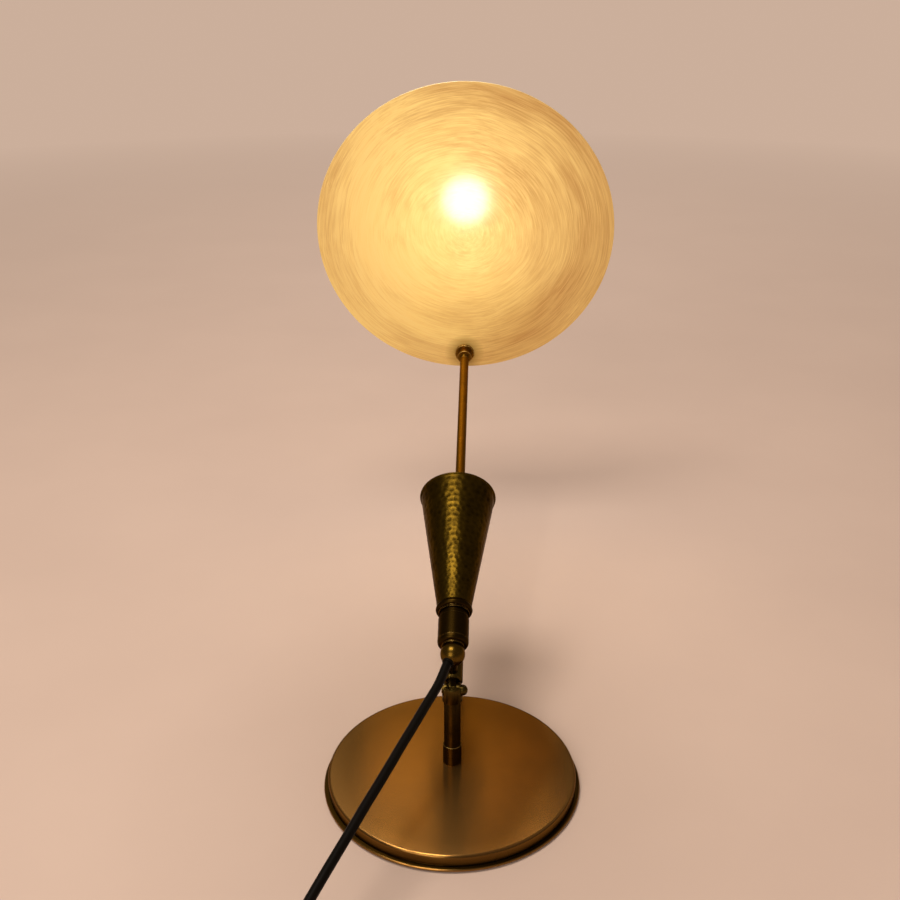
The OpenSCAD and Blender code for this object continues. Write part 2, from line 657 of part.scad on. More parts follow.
module lamp_lens() color([1, 0.95, 0.80]) in_head(lamp_z + lens_z) cylinder(r = lens_r, h = lens_t);

module lamp_pins() color([0.75, 0.75, 0.75]) in_head(lamp_z - pin_len)
    for (side = [-1, 1]) translate([side * pin_pitch / 2, 0, 0]) cylinder(d = pin_d, h = pin_len);

module disc() color([0.93, 0.76, 0.36]) on_disc(disc_stand) difference() {
    translate([0, -disc_offset, 0]) cylinder(d = disc_d, h = disc_t, $fn = 180);
    translate([0, 0, -overcut]) cylinder(r = spigot_d / 2 + fit, h = disc_t + 2 * overcut);
}

module flange_ring() color([0.70, 0.50, 0.20]) on_disc() difference() {
    union() {
        translate([0, 0, disc_stand - flange_ring_t]) cylinder(d = flange_ring_d, h = flange_ring_t);
        cylinder(r = collar_thread_r, h = disc_stand);
        cylinder(d = spigot_d, h = spigot_end);
    }
    sphere(r = tip_seat_r);
}

module collar_ring() color([0.62, 0.45, 0.18]) on_disc() difference() {
    translate([0, 0, -collar_ring_lip])
        cylinder(d = collar_ring_d, h = collar_ring_lip + disc_stand - flange_ring_t);
    sphere(r = tip_seat_r);
    translate([0, 0, -fit]) cylinder(r = collar_thread_r + fit, h = disc_stand);
    translate([0, 0, -disc_stand]) cylinder(d = collar_mouth_d, h = disc_stand);
}

module rear_washer() color([0.70, 0.62, 0.40])
    on_disc(disc_back) washer(rear_washer_d / 2, spigot_d / 2 + fit, rear_washer_t);

module rear_nut() color([0.70, 0.62, 0.40])
    on_disc(rear_nut_z) hex_nut(rear_nut_af, spigot_d / 2 + fit, rear_nut_h);

module cord_free() color([0.04, 0.035, 0.03]) tube_along(free_path, cord_r, 8, 22.5);

module cord_coil() color([0.04, 0.035, 0.03]) tube_along(coil_path, cord_r, 6, 90);

module cord_tail() color([0.04, 0.035, 0.03]) tube_along(tail_path, cord_r, 8, 22.5);

module cord_tie() color([0.02, 0.02, 0.02])
    translate([coil_centre[0], coil_centre[1], 0]) rotate([0, 0, tie_angle]) difference() {
        translate([tie_in - tie_t, -tie_w / 2, 0])
            cube([tie_out - tie_in + 2 * tie_t, tie_w, tie_top + tie_t]);
        translate([tie_in, -tie_w / 2 - overcut, tie_t])
            cube([tie_out - tie_in, tie_w + 2 * overcut, tie_top - tie_t]);
    }

module plug_relief() color([0.04, 0.04, 0.04]) at_plug() rotate([0, 90, 0])
    cylinder(r1 = cord_r + relief_wall, r2 = relief_d / 2, h = relief_len);

module plug_body() color([0.05, 0.05, 0.05]) at_plug() translate([relief_len, 0, -plug_t / 2])
    linear_extrude(plug_t) polygon([
        [0, -plug_w / 2 + plug_cut],
        [plug_cut, -plug_w / 2],
        [plug_len, -plug_w / 2],
        [plug_len, plug_w / 2],
        [plug_cut, plug_w / 2],
        [0, plug_w / 2 - plug_cut]]);

module plug_pins() color([0.80, 0.80, 0.80]) at_plug()
    for (side = [-1, 1]) translate([relief_len + plug_len, side * plug_pin_pitch / 2, 0])
        rotate([0, 90, 0]) cylinder(d = plug_pin_d, h = plug_pin_len);

base_pad();
base_weight();
base_cover();
foot_nut();
foot_washer();
foot_ferrule();
stem_tube();
knuckle_base();
clamp_nut();
clamp_screw();
knuckle_head();
rod();
rod_tip();
ball_stud();
cable_ball();
cord_bush();
holder_cup();
holder_band();
holder_sleeve();
bead_ring();
cone_shade();
nipple();
nipple_nut();
lamp_socket();
lamp_body();
lamp_lens();
lamp_pins();
disc();
flange_ring();
collar_ring();
rear_washer();
rear_nut();
cord_free();
cord_coil();
cord_tie();
cord_tail();
plug_relief();
plug_body();
plug_pins();
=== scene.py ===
# %% [markdown]
# # A reflector table lamp
# A lamp hidden in a hammered cone shines up onto a round brushed disc, and the disc sends the light
# back down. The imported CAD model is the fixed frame: it says where every piece is and what it moves
# with. Small machined pieces stay as they are and only get a finish. The pieces that the eye rests on
# are built again here as smooth surfaces, in the same places.

# %% Load the frame
import json
import math

import bmesh
import bpy
import numpy as np
from mathutils import Matrix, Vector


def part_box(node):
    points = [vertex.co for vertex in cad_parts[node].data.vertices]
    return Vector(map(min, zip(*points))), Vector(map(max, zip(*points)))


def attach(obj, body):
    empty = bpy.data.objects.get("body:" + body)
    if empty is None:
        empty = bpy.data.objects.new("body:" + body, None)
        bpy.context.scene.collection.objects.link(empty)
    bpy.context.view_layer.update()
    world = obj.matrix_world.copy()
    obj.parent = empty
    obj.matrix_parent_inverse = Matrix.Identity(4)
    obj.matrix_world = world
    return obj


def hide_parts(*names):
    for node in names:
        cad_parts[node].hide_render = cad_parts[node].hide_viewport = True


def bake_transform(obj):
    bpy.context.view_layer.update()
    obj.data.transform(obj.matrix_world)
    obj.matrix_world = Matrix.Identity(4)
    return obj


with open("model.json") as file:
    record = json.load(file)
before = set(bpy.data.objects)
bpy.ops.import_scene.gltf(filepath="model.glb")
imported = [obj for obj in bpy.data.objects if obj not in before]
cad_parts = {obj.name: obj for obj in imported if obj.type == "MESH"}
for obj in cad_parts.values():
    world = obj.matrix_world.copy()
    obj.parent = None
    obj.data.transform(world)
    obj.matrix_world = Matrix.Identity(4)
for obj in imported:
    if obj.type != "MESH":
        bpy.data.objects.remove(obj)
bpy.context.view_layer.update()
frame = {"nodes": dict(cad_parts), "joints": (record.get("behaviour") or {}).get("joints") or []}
MM = 0.001
joint_place = {joint["name"]: np.array(joint["pos_m"], float) for joint in frame["joints"]}
pivot = joint_place["arm_tilt"]
ball_centre = joint_place["head_tilt"]
tip_centre = joint_place["disc_tilt"]

# %% [markdown]
# ## The camera
# The camera comes first, because the cord has to know what it sees. It was worked out from the two
# ellipses of the base: it stands in front of the lamp, a little to the right, and looks down.
# A lens written as a focal length in pixels is turned into millimetres on the sensor.

# %% The camera
def add_object(name, data):
    """Puts a camera, a lamp or a mesh into the scene."""
    thing = bpy.data.objects.new(name, data)
    bpy.context.scene.collection.objects.link(thing)
    return thing


PHOTO_PX = 900
FOCAL_PX = 1200
SENSOR_MM = 36
CAMERA_PLACE = (0.0189, -0.6421, 0.5322)
CAMERA_DOWN = 24.22
CAMERA_TURN = 1.8
camera_data = bpy.data.cameras.new("camera")
camera_data.sensor_width = SENSOR_MM
camera_data.lens = SENSOR_MM * FOCAL_PX / PHOTO_PX
camera = add_object("camera", camera_data)
camera.location = CAMERA_PLACE
camera.rotation_euler = (math.radians(90 - CAMERA_DOWN), 0, math.radians(CAMERA_TURN))
bpy.context.scene.camera = camera
bpy.context.scene.view_settings.view_transform = "Standard"
print("lens:", round(camera_data.lens, 1), "mm")

# %% [markdown]
# ## From arrays to a mesh
# A surface here is a grid of points, worked out as whole arrays. Each cell of the grid is a face with
# four corners. Where points fall together, as at the middle of a dome, they are merged, and the faces
# are then turned to point outwards.

# %% Grids of points
MERGE_M = 1e-6


def grid_faces(rows, columns, rows_close):
    """Faces between neighbouring points of a grid. Columns always close, and rows where asked."""
    row = np.arange(rows if rows_close else rows - 1)[:, None]
    column = np.arange(columns)[None, :]
    next_row = (row + 1) % rows
    next_column = (column + 1) % columns
    corners = [
        row * columns + column,
        row * columns + next_column,
        next_row * columns + next_column,
        next_row * columns + column,
    ]
    return np.stack(np.broadcast_arrays(*corners), axis=-1).reshape(-1, 4)


def merged(name, mesh, flat_angle=None):
    """An object from a mesh whose double points are merged.

    Its faces are joined where the angle between them is small, if one is given, and otherwise turned
    to point outwards.
    """
    shape = bmesh.new()
    shape.from_mesh(mesh)
    bmesh.ops.remove_doubles(shape, verts=shape.verts, dist=MERGE_M)
    if flat_angle:
        bmesh.ops.dissolve_limit(shape, angle_limit=flat_angle, verts=shape.verts, edges=shape.edges)
    else:
        bmesh.ops.recalc_face_normals(shape, faces=shape.faces)
    shape.to_mesh(mesh)
    shape.free()
    mesh.shade_smooth()
    return add_object(name, mesh)


def mesh_piece(name, points, faces, marks=None):
    """A mesh object from points in metres and an array of faces.

    marks holds one number for each point under a name, which a finish can read as an attribute.
    """
    mesh = bpy.data.meshes.new(name)
    points = np.asarray(points, np.float32).reshape(-1, 3)
    mesh.vertices.add(len(points))
    mesh.vertices.foreach_set("co", points.ravel())
    mesh.loops.add(faces.size)
    mesh.loops.foreach_set("vertex_index", faces.astype(np.int32).ravel())
    mesh.polygons.add(len(faces))
    mesh.polygons.foreach_set("loop_start", np.arange(0, faces.size, faces.shape[1], dtype=np.int32))
    mesh.update(calc_edges=True)
    for mark, values in (marks or {}).items():
        attribute = mesh.attributes.new(mark, "FLOAT", "POINT")
        attribute.data.foreach_set("value", np.asarray(values, np.float32).ravel())
    return merged(name, mesh)


# %% [markdown]
# ## Places on the lamp
# Most pieces are round about an axis that leans: the stem's is upright, the arm's leans back, and the
# lampholder and the disc each have their own. A place is an origin with three axes of its own, so a
# piece can be drawn as if it stood upright and is then laid where it belongs.

# %% Places
ARM_LEAN = 75
HEAD_LEAN = 69
DISC_LEAN = 84
NEARLY_UPRIGHT = 0.9


def leaning(origin, lean):
    """A place whose third axis leans back from upright by an angle in degrees."""
    angle = math.radians(lean)
    across = (0, math.cos(angle), -math.sin(angle))
    along = (0, math.sin(angle), math.cos(angle))
    return np.array(origin, float), np.array([(1, 0, 0), across, along])


def aimed(origin, direction):
    """A place whose third axis points in a given direction."""
    along = np.array(direction, float) / np.linalg.norm(direction)
    side = np.cross((0, 1, 0) if abs(along[2]) > NEARLY_UPRIGHT else (0, 0, 1), along)
    side = side / np.linalg.norm(side)
    return np.array(origin, float), np.array([side, np.cross(along, side), along])


stem_y = pivot[1]
on_table = leaning((0, 0, 0), 0)
on_stem = leaning((0, stem_y, 0), 0)
on_arm = leaning(pivot, ARM_LEAN)
in_head = leaning(ball_centre, HEAD_LEAN)
on_disc = leaning(tip_centre, DISC_LEAN)
on_screw = aimed(pivot, (1, 0, 0))
print("arm:", round(float(np.linalg.norm(tip_centre - pivot)) / MM), "mm from knuckle to tip")

# %% [markdown]
# ## The cord
# A round black mains cord comes out of the ball behind the lampholder, falls to the table and leaves
# the picture at the lower left. The rest of its 1.8 m is wound into a neat coil just outside the view.
# The route follows the same points as the CAD solids; those of the free stretch are in millimetres.
# A tube is a circle carried along that route: at each point it is spanned by a level direction square
# to the route, and a third one square to both.

# %% The cord's route
CORD_R = 0.003
CORD_EXIT_TURN = 22
CORD_EXIT_DROP = 15
CORD_HIDDEN = 0.0045
CORD_STRAIGHT = 0.002
BUSH_FACE = 0.0086
FREE_ROUTE = np.array([
    (-8.5, -9.5, 84), (-15.5, -25.5, 80), (-22, -41, 76.5), (-28.5, -56, 73), (-34.5, -71, 70),
    (-40.5, -85.5, 67), (-46.5, -99.5, 64), (-52, -113, 61), (-57.5, -126, 58), (-63, -139, 55),
    (-68.5, -151.5, 51.5), (-74, -164.5, 48), (-79.5, -177.5, 44), (-85, -190.5, 39.5),
    (-90.5, -203.5, 34.5), (-96, -216.5, 29.5), (-101.5, -229.5, 24.5), (-106.5, -241.5, 20),
    (-111, -252.5, 16.5), (-115.5, -263, 13.5), (-119.5, -273, 11.5),
]) / 1000
COIL_CENTRE = (-0.084, -0.31)
COIL_START = 158
COIL_TURNS = 6.375
CLIMB_TURNS = 0.5
COIL_STEPS = 24
COIL_INNER_R = 0.024
COIL_PITCH = 0.0066
COIL_LOW_Z = 0.0036
TAIL_LENGTH = 0.076
TAIL_STEPS = 6
PLUG_Z = 0.007
ROUTE_SPANS = 4


def eased_step(x):
    """A step from 0 to 1 that starts and ends level."""
    x = np.clip(x, 0, 1)
    return x * x * (3 - 2 * x)


def heading(degrees):
    """The level direction at an angle."""
    return np.array([math.cos(math.radians(degrees)), math.sin(math.radians(degrees)), 0])


def coil_points(turns):
    """The coil spirals in on the upper layer, climbs down within half a turn, and spirals out below."""
    radius = COIL_INNER_R + COIL_PITCH * np.abs(COIL_TURNS / 2 - turns)
    fall = eased_step((turns - COIL_TURNS / 2) / CLIMB_TURNS + 0.5)
    angle = np.radians(COIL_START + 360 * turns)
    return np.stack([
        COIL_CENTRE[0] + radius * np.cos(angle),
        COIL_CENTRE[1] + radius * np.sin(angle),
        COIL_LOW_Z + COIL_PITCH * (1 - fall),
    ], axis=-1)


def smooth_line(points, spans):
    """A Catmull-Rom curve through points: each span leaves and meets them at the slope of their chord."""
    p = np.asarray(points, float)
    held = np.vstack([2 * p[0] - p[1], p, 2 * p[-1] - p[-2]])
    t = np.linspace(0, 1, spans, endpoint=False)[None, :, None]
    a, b, c, d = (held[k:len(p) - 1 + k, None, :] for k in range(4))
    curve = 0.5 * (2 * b + (c - a) * t + (2 * a - 5 * b + 4 * c - d) * t**2 + (3 * b - a - 3 * c + d) * t**3)
    return np.vstack([curve.reshape(-1, 3), p[-1]])


turn, drop = math.radians(CORD_EXIT_TURN), math.radians(CORD_EXIT_DROP)
exit_dir = np.array([-math.sin(turn) * math.cos(drop), -math.cos(turn) * math.cos(drop), -math.sin(drop)])
cord_exit = ball_centre + BUSH_FACE * exit_dir
coil_end = COIL_START + 360 * COIL_TURNS
coil = coil_points(np.arange(round(COIL_TURNS * COIL_STEPS) + 1) / COIL_STEPS)
coil_first = coil[0] - 2 * CORD_R * heading(COIL_START + 90)
coil_last = coil[-1] + 2 * CORD_R * heading(coil_end + 90)
tail_share = np.linspace(0, 1, TAIL_STEPS + 1)[:, None]
tail = coil_last + tail_share * TAIL_LENGTH * heading(coil_end + 90)
tail = tail + eased_step(tail_share) * (PLUG_Z - COIL_LOW_Z) * np.array([0, 0, 1])
cord_route = smooth_line(np.vstack([
    [ball_centre + CORD_HIDDEN * exit_dir, cord_exit + CORD_STRAIGHT * exit_dir],
    FREE_ROUTE,
    [coil_first - 2 * CORD_R * heading(COIL_START + 90), coil_first],
    coil,
    tail,
]), ROUTE_SPANS)
cord_length = float(np.linalg.norm(np.diff(cord_route, axis=0), axis=1).sum())
print("cord:", round(cord_length, 3), "m")

# %% The cord's tube
CORD_SIDES = 14


def tube(name, line, radius, sides):
    """A circle of a given radius, carried along a line. Its ends are closed."""
    ahead = np.gradient(line, axis=0)
    ahead = ahead / np.linalg.norm(ahead, axis=1, keepdims=True)
    level = np.cross((0, 0, 1), ahead)
    level = level / np.linalg.norm(level, axis=1, keepdims=True)
    above = np.cross(ahead, level)
    around = np.linspace(0, 2 * math.pi, sides, endpoint=False)[None, :, None]
    rings = line[:, None] + radius * (np.cos(around) * level[:, None] + np.sin(around) * above[:, None])
    ends = [np.broadcast_to(line[k], (1, sides, 3)) for k in (0, -1)]
    points = np.concatenate([ends[0], rings, ends[1]])
    return mesh_piece(name, points, grid_faces(len(points), sides, False))


cord = tube("cord_flex", cord_route, CORD_R, CORD_SIDES)

# %% [markdown]
# ## Turned pieces
# Nearly everything here was turned on a lathe. The outline of a cut through the piece is given as
# radius and height in millimetres, and is carried round the axis. Real metal has no knife edges, so each
# corner of the outline gives way to a short curve, and is marked: that is where the finish wears bright.
# A third number moves a point's circle off the axis, for a hole that isn't in the middle.

# %% Turning
STRAIGHT = math.cos(math.radians(158))
LONGEST_CUT = 0.4
GUARD_REACH = 0.25


def softened(outline, cut, steps=4):
    """Rounds an outline's corners with short quadratic curves whose handle is the old corner.

    Two more points beside each corner keep long stretches flat when they are shaded smooth. The last
    column of the result is 1 on the rounded corners. An outline that starts on the axis is open.
    """
    corners = [np.array([*point, 0, 0][:3], float) for point in outline]
    is_open = corners[0][0] == 0
    share = np.linspace(0, 1, steps)[:, None]
    made = []
    for k, corner in enumerate(corners):
        back = corners[k - 1] - corner
        on = corners[(k + 1) % len(corners)] - corner
        back_length, on_length = np.linalg.norm(back), np.linalg.norm(on)
        is_end = is_open and k in (0, len(corners) - 1)
        if is_end or back @ on / (back_length * on_length) < STRAIGHT:
            made.append([[*corner, 0]])
            continue
        reach = min(cut, LONGEST_CUT * back_length, LONGEST_CUT * on_length)
        start, end = corner + back / back_length * reach, corner + on / on_length * reach
        curve = (1 - share) ** 2 * start + 2 * share * (1 - share) * corner + share**2 * end
        before = start + back * GUARD_REACH * reach / back_length
        after = end + on * GUARD_REACH * reach / on_length
        made += [[[*before, 0]], np.hstack([curve, np.ones((steps, 1))]), [[*after, 0]]]
    return np.vstack(made)


def arc(x, y, radius, start, end, steps):
    """Points of an arc, for an outline."""
    angles = np.radians(np.linspace(start, end, steps + 1))
    return [(x + radius * math.cos(a), y + radius * math.sin(a)) for a in angles]


def plain_wall(inner, outer, low, high):
    """The outline of a plain tube, or of a plate where the inner radius is 0."""
    return [(inner, low), (outer, low), (outer, high), (inner, high)]


pieces = {}


def stand_for(node, body, piece):
    """The piece takes the place of a CAD node and moves with its body."""
    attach(piece, body)
    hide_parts(node)
    pieces[node] = piece


def turned(node, body, name, outline, place, cut=0.2, steps=128):
    """A surface of revolution: every point of the outline goes round the place's third axis.

    It stands for a CAD node that moves with a body. cut is how far its corners are rounded.
    """
    radius, height, shift, edge = (column[:, None] for column in softened(outline, cut).T)
    around = np.linspace(0, 2 * math.pi, steps, endpoint=False)[None, :]
    local = np.stack(
        [radius * np.cos(around), shift + radius * np.sin(around), height + 0 * around], axis=-1)
    origin, axes = place
    closes = outline[0][0] > 0
    faces = grid_faces(len(radius), steps, closes)
    points = origin + MM * local @ axes
    stand_for(node, body, mesh_piece(name, points, faces, {"edge": edge + 0 * around}))


# %% [markdown]
# ## The base
# The base is a thin brass cover pressed over a heavy plate. Its top meets the side in a soft
# shoulder, the side stands in a little from a rolled flange, and a groove parts the two. The stem's
# hole lies behind the middle, so the rings of the top drift from one centre to the other.

# %% The base cover
base_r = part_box("base_cover")[1].x / MM
base_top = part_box("base_cover")[1].z / MM
pad_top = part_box("base_pad")[1].z / MM
BEAD_R = 0.9
SIDE_INSET = 2.8
GROOVE = 1.0
SHOULDER_R = 2.0
COVER_WALL = 1.2
STEM_R = 5.5
FIT = 0.05

side_r = base_r - SIDE_INSET
flange_top = pad_top + 2 * BEAD_R
stem_back = stem_y / MM
hole_r = STEM_R + FIT
cavity_r = side_r - GROOVE - COVER_WALL
cavity_top = base_top - COVER_WALL
turned("base_cover", "base", "base_dish", [
    (hole_r, base_top, stem_back),
    *arc(side_r - SHOULDER_R, base_top - SHOULDER_R, SHOULDER_R, 90, 0, 8),
    (side_r, flange_top + GROOVE),
    (side_r - GROOVE, flange_top + GROOVE),
    (side_r - GROOVE, flange_top),
    *arc(base_r - BEAD_R, pad_top + BEAD_R, BEAD_R, 90, -90, 10),
    (cavity_r, pad_top),
    (cavity_r, cavity_top),
    (hole_r, cavity_top, stem_back),
], on_table, cut=0.15, steps=256)
pad_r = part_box("base_pad")[1].x / MM
turned("base_pad", "base", "felt_pad", plain_wall(0, pad_r, 0, pad_top), on_table, cut=0.3)

# %% [markdown]
# ## The stem and the knuckle
# A short tube rises from a ferrule. On top a forked knuckle holds the tongue of the arm, with a
# screw through both. The knuckle's halves are milled, not turned, so a copy of each CAD node is
# merged into clean faces and a Bevel modifier takes off its edges.

# %% The stem
WALL = 1.0
FERRULE_R = 6.2
stem_low, stem_high = (z / MM for z in (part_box("stem_tube")[0].z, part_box("stem_tube")[1].z))
ferrule_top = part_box("foot_ferrule")[1].z / MM
turned("stem_tube", "base", "stem", plain_wall(STEM_R - WALL, STEM_R, stem_low, stem_high), on_stem)
turned("foot_ferrule", "base", "ferrule", plain_wall(hole_r, FERRULE_R, base_top, ferrule_top), on_stem,
       cut=0.35)

# %% Milled pieces
FLAT_ANGLE = math.radians(1)
EDGE_ANGLE = math.radians(32)


def milled(name, node, body, width):
    """A copy of a CAD node with its triangles merged into flat faces and its edges bevelled."""
    piece = merged(name, frame["nodes"][node].data.copy(), FLAT_ANGLE)
    bevel = piece.modifiers.new("edges", "BEVEL")
    bevel.width = width * MM
    bevel.segments = 2
    bevel.limit_method = "ANGLE"
    bevel.angle_limit = EDGE_ANGLE
    bevel.harden_normals = True
    stand_for(node, body, piece)


milled("knuckle_fork", "knuckle_base", "base", 0.3)
milled("knuckle_tongue", "knuckle_head", "arm", 0.25)
milled("knuckle_nut", "clamp_nut", "base", 0.2)
milled("disc_nut", "rear_nut", "reflector", 0.3)
milled("disc_washer", "rear_washer", "reflector", 0.15)
milled("coil_tie", "cord_tie", "base", 0.15)

# %% The clamp screw
SCREW_R = 2.0
SCREW_HEAD_R = 3.6
SCREW_SEAT = 5.5
SCREW_RIM = 1.2
SCREW_DOME = 3.4
screw_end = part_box("clamp_screw")[0].x / MM
dome = [(SCREW_HEAD_R * math.cos(a), SCREW_SEAT + SCREW_RIM + SCREW_DOME * math.sin(a))
        for a in np.linspace(0, math.pi / 2, 9)]
turned("clamp_screw", "screw", "knuckle_screw", [
    (0, screw_end), (SCREW_R, screw_end), (SCREW_R, SCREW_SEAT), (SCREW_HEAD_R, SCREW_SEAT),
    *dome[:-1], (0, dome[-1][1]),
], on_screw, cut=0.25, steps=64)

# %% [markdown]
# ## The arm
# A thin rod runs up behind the cone. Its tip is a small ball that the disc turns on. The fat
# ball beside the knuckle carries the lampholder, and the cord leaves it through a black bush.

# %% The rod and its tip
ROD_R = 3.8
TIP_R = 4.4
TIP_NECK_R = 2.2
TIP_SPIGOT = 8
SHOULDER_T = 1.5
TIP_STAND = 4.9
ROD_START = 16.5
rod_reach = float(np.linalg.norm(tip_centre - pivot)) / MM
rod_end = rod_reach - TIP_STAND - SHOULDER_T
neck_meets = rod_reach - math.sqrt(TIP_R**2 - TIP_NECK_R**2)
tip_from = math.degrees(math.asin((neck_meets - rod_reach) / TIP_R))
turned("rod", "arm", "arm_rod", plain_wall(ROD_R - WALL, ROD_R, ROD_START, rod_end), on_arm,
       cut=0.15, steps=96)
turned("rod_tip", "arm", "arm_tip", [
    (0, rod_end - TIP_SPIGOT), (ROD_R - WALL - FIT, rod_end - TIP_SPIGOT), (ROD_R - WALL - FIT, rod_end),
    (ROD_R, rod_end), (ROD_R, rod_end + SHOULDER_T), (TIP_NECK_R, rod_end + SHOULDER_T),
    *arc(0, rod_reach, TIP_R, tip_from, 90, 20)[:-1], (0, rod_reach + TIP_R),
], on_arm, cut=0.4, steps=96)

# %% The cable ball and its bush
BALL_R = 8.15
BUSH_R = 3.8
BUSH_LEN = 3
at_exit = aimed(ball_centre, exit_dir)
face = BUSH_FACE / MM
pocket_r = BUSH_R + FIT
pocket_at = math.degrees(math.acos(pocket_r / BALL_R))
turned("cable_ball", "arm", "swivel_ball", [
    (0, face - BUSH_LEN), (pocket_r, face - BUSH_LEN),
    *arc(0, 0, BALL_R, pocket_at, -90, 40)[:-1], (0, -BALL_R),
], at_exit, cut=0.12)
turned("cord_bush", "arm", "cord_grommet", plain_wall(CORD_R / MM + FIT, BUSH_R, face - BUSH_LEN, face),
       at_exit, cut=0.8, steps=64)

# %% [markdown]
# ## The lampholder
# A cup with a narrow neck sits on the ball. Where the sleeve meets it, both have a small chamfer, so
# that a fine line runs round. Above the sleeve a narrower band lies in shade, and a ring like a bead
# carries the cone.

# %% Cup, sleeve, band and bead
HOLDER_R = 10.3
HOLDER_WALL = 1.5
CUP_START = 5.2
NECK_R = 7.3
NECK_TOP = 6.1
CUP_CORNER = 3.0
CUP_TOP = 9.5
SLEEVE_TOP = 27.6
BAND_R = 9.4
BAND_TOP = 31.5
BEAD_START = 33.0
CONE_START = 37.5
CHAMFER = 0.35
BEAD_RING_R = 12.4
BEAD_FOOT_R = 10.7
NIPPLE_R = 5.05
CUP_PLAY = 0.1
cup_seat = BALL_R + CUP_PLAY
seat_from = math.degrees(math.acos(NIPPLE_R / cup_seat))
seat_to = math.degrees(math.asin(CUP_START / cup_seat))
turned("holder_cup", "head", "lamp_cup", [
    *arc(0, 0, cup_seat, seat_from, seat_to, 5), (NECK_R, CUP_START), (NECK_R, NECK_TOP),
    *arc(HOLDER_R - CUP_CORNER, NECK_TOP + CUP_CORNER, CUP_CORNER, -75, 0, 8),
    (HOLDER_R, CUP_TOP - CHAMFER), (HOLDER_R - CHAMFER, CUP_TOP), (NIPPLE_R, CUP_TOP),
], in_head, cut=0.15)
turned("holder_sleeve", "head", "lamp_sleeve", [
    (HOLDER_R - HOLDER_WALL, CUP_TOP), (HOLDER_R - CHAMFER, CUP_TOP), (HOLDER_R, CUP_TOP + CHAMFER),
    (HOLDER_R, SLEEVE_TOP - CHAMFER), (HOLDER_R - CHAMFER, SLEEVE_TOP), (NIPPLE_R, SLEEVE_TOP),
    (NIPPLE_R, SLEEVE_TOP - HOLDER_WALL), (HOLDER_R - HOLDER_WALL, SLEEVE_TOP - HOLDER_WALL),
], in_head, cut=0.08)
turned("holder_band", "head", "lamp_band", plain_wall(NIPPLE_R, BAND_R, SLEEVE_TOP, BAND_TOP), in_head,
       cut=0.08)
bead_half = (CONE_START - BEAD_START) / 2
turned("bead_ring", "head", "cone_bead", [
    (NIPPLE_R, BAND_TOP), (BEAD_FOOT_R, BAND_TOP),
    *arc(BEAD_RING_R - bead_half, BEAD_START + bead_half, bead_half, -90, 90, 14), (NIPPLE_R, CONE_START),
], in_head, cut=0.2)

# %% [markdown]
# ## The hammered cone
# A smith closes the cone from sheet and planishes it with a round-faced hammer. Each blow leaves a
# shallow bowl, and where two bowls meet stands a soft ridge. So the depth of a point is a smooth
# step of its distance to the nearest blow. The blows grow wider towards the mouth and lie on rows
# with some scatter. In each row only the three nearest to a point need to be looked at. The sheet
# is thin, so the inner wall moves with the outer one.

# %% The hammered cone
CONE_LEN = 100.2
FOOT_R = 11.6
MOUTH_R = 27.0
CONE_WALL = 0.7
LIP_OUT = 0.6
LIP_H = 1.4
FLOOR_T = 1.4
FOOT_BLOW = 3.3
MOUTH_BLOW = 5.6
ROW_STEP = 0.87
BOWL_R = 0.6
BLOW_DEPTH = 0.05
SCATTER = 0.2
WEAKEST = 0.12
CALM_FOOT = (0.4, 2.5)
CALM_LIP = 1.2
HAMMER_SEED = 11
FAR_OFF = 9.0
LAST_ROW = 1.02
CONE_EDGE = 0.15
LIP_STEP = 0.1
CONE_COLUMNS = 288
OUTER_ROWS = 190
INNER_ROWS = 90
cone_top = CONE_START + CONE_LEN


def blow_width(up):
    """Width of a blow in millimetres, which grows evenly from the foot to the mouth."""
    return FOOT_BLOW + (MOUTH_BLOW - FOOT_BLOW) * up


def blow_depth(up, around):
    """How far hammer blows leave the surface below its ridges, as a share of the depth of one.

    up and around run from 0 to 1 along the cone and round it. Distances are counted in blow widths,
    and a bowl rises from its middle to its rim on a smooth step.
    """
    random = np.random.default_rng(HAMMER_SEED)
    nearest = np.full(np.broadcast(up, around).shape, FAR_OFF)
    row_up = 0.0
    while row_up < LAST_ROW:
        width = blow_width(row_up)
        count = round(2 * math.pi * (FOOT_R + (MOUTH_R - FOOT_R) * row_up) / width)
        column = around * count - random.uniform()
        scatter = random.uniform(-SCATTER, SCATTER, (count, 2))
        weakness = random.uniform(0, WEAKEST, count)
        for step in (-1, 0, 1):
            blow = np.floor(column).astype(int) + step
            index = blow % count
            along_gap = (up - row_up) * CONE_LEN / width - scatter[index, 0]
            round_gap = column - blow - 0.5 - scatter[index, 1]
            nearest = np.minimum(nearest, along_gap**2 + round_gap**2 + weakness[index])
        row_up += ROW_STEP * width / CONE_LEN
    return 1 - eased_step(np.sqrt(nearest) / BOWL_R)


def cone_wall(rows, inset, start, end):
    """Radius and height of a hammered wall between two heights, for every row and column."""
    height = np.linspace(start, end, rows)[:, None]
    around = np.arange(CONE_COLUMNS)[None, :] / CONE_COLUMNS
    up = (height - CONE_START) / CONE_LEN
    calm = eased_step((height - CONE_START - CALM_FOOT[0]) / CALM_FOOT[1])
    calm = calm * eased_step((cone_top - LIP_H - height) / CALM_LIP)
    depth = BLOW_DEPTH * blow_width(up) * calm * blow_depth(up, around)
    radius = FOOT_R + (MOUTH_R - FOOT_R) * up - inset - depth
    return radius, height + 0 * radius


def plain_ring(radius, height):
    """One row of the cone where it isn't hammered."""
    return np.full((1, CONE_COLUMNS), radius), np.full((1, CONE_COLUMNS), height)


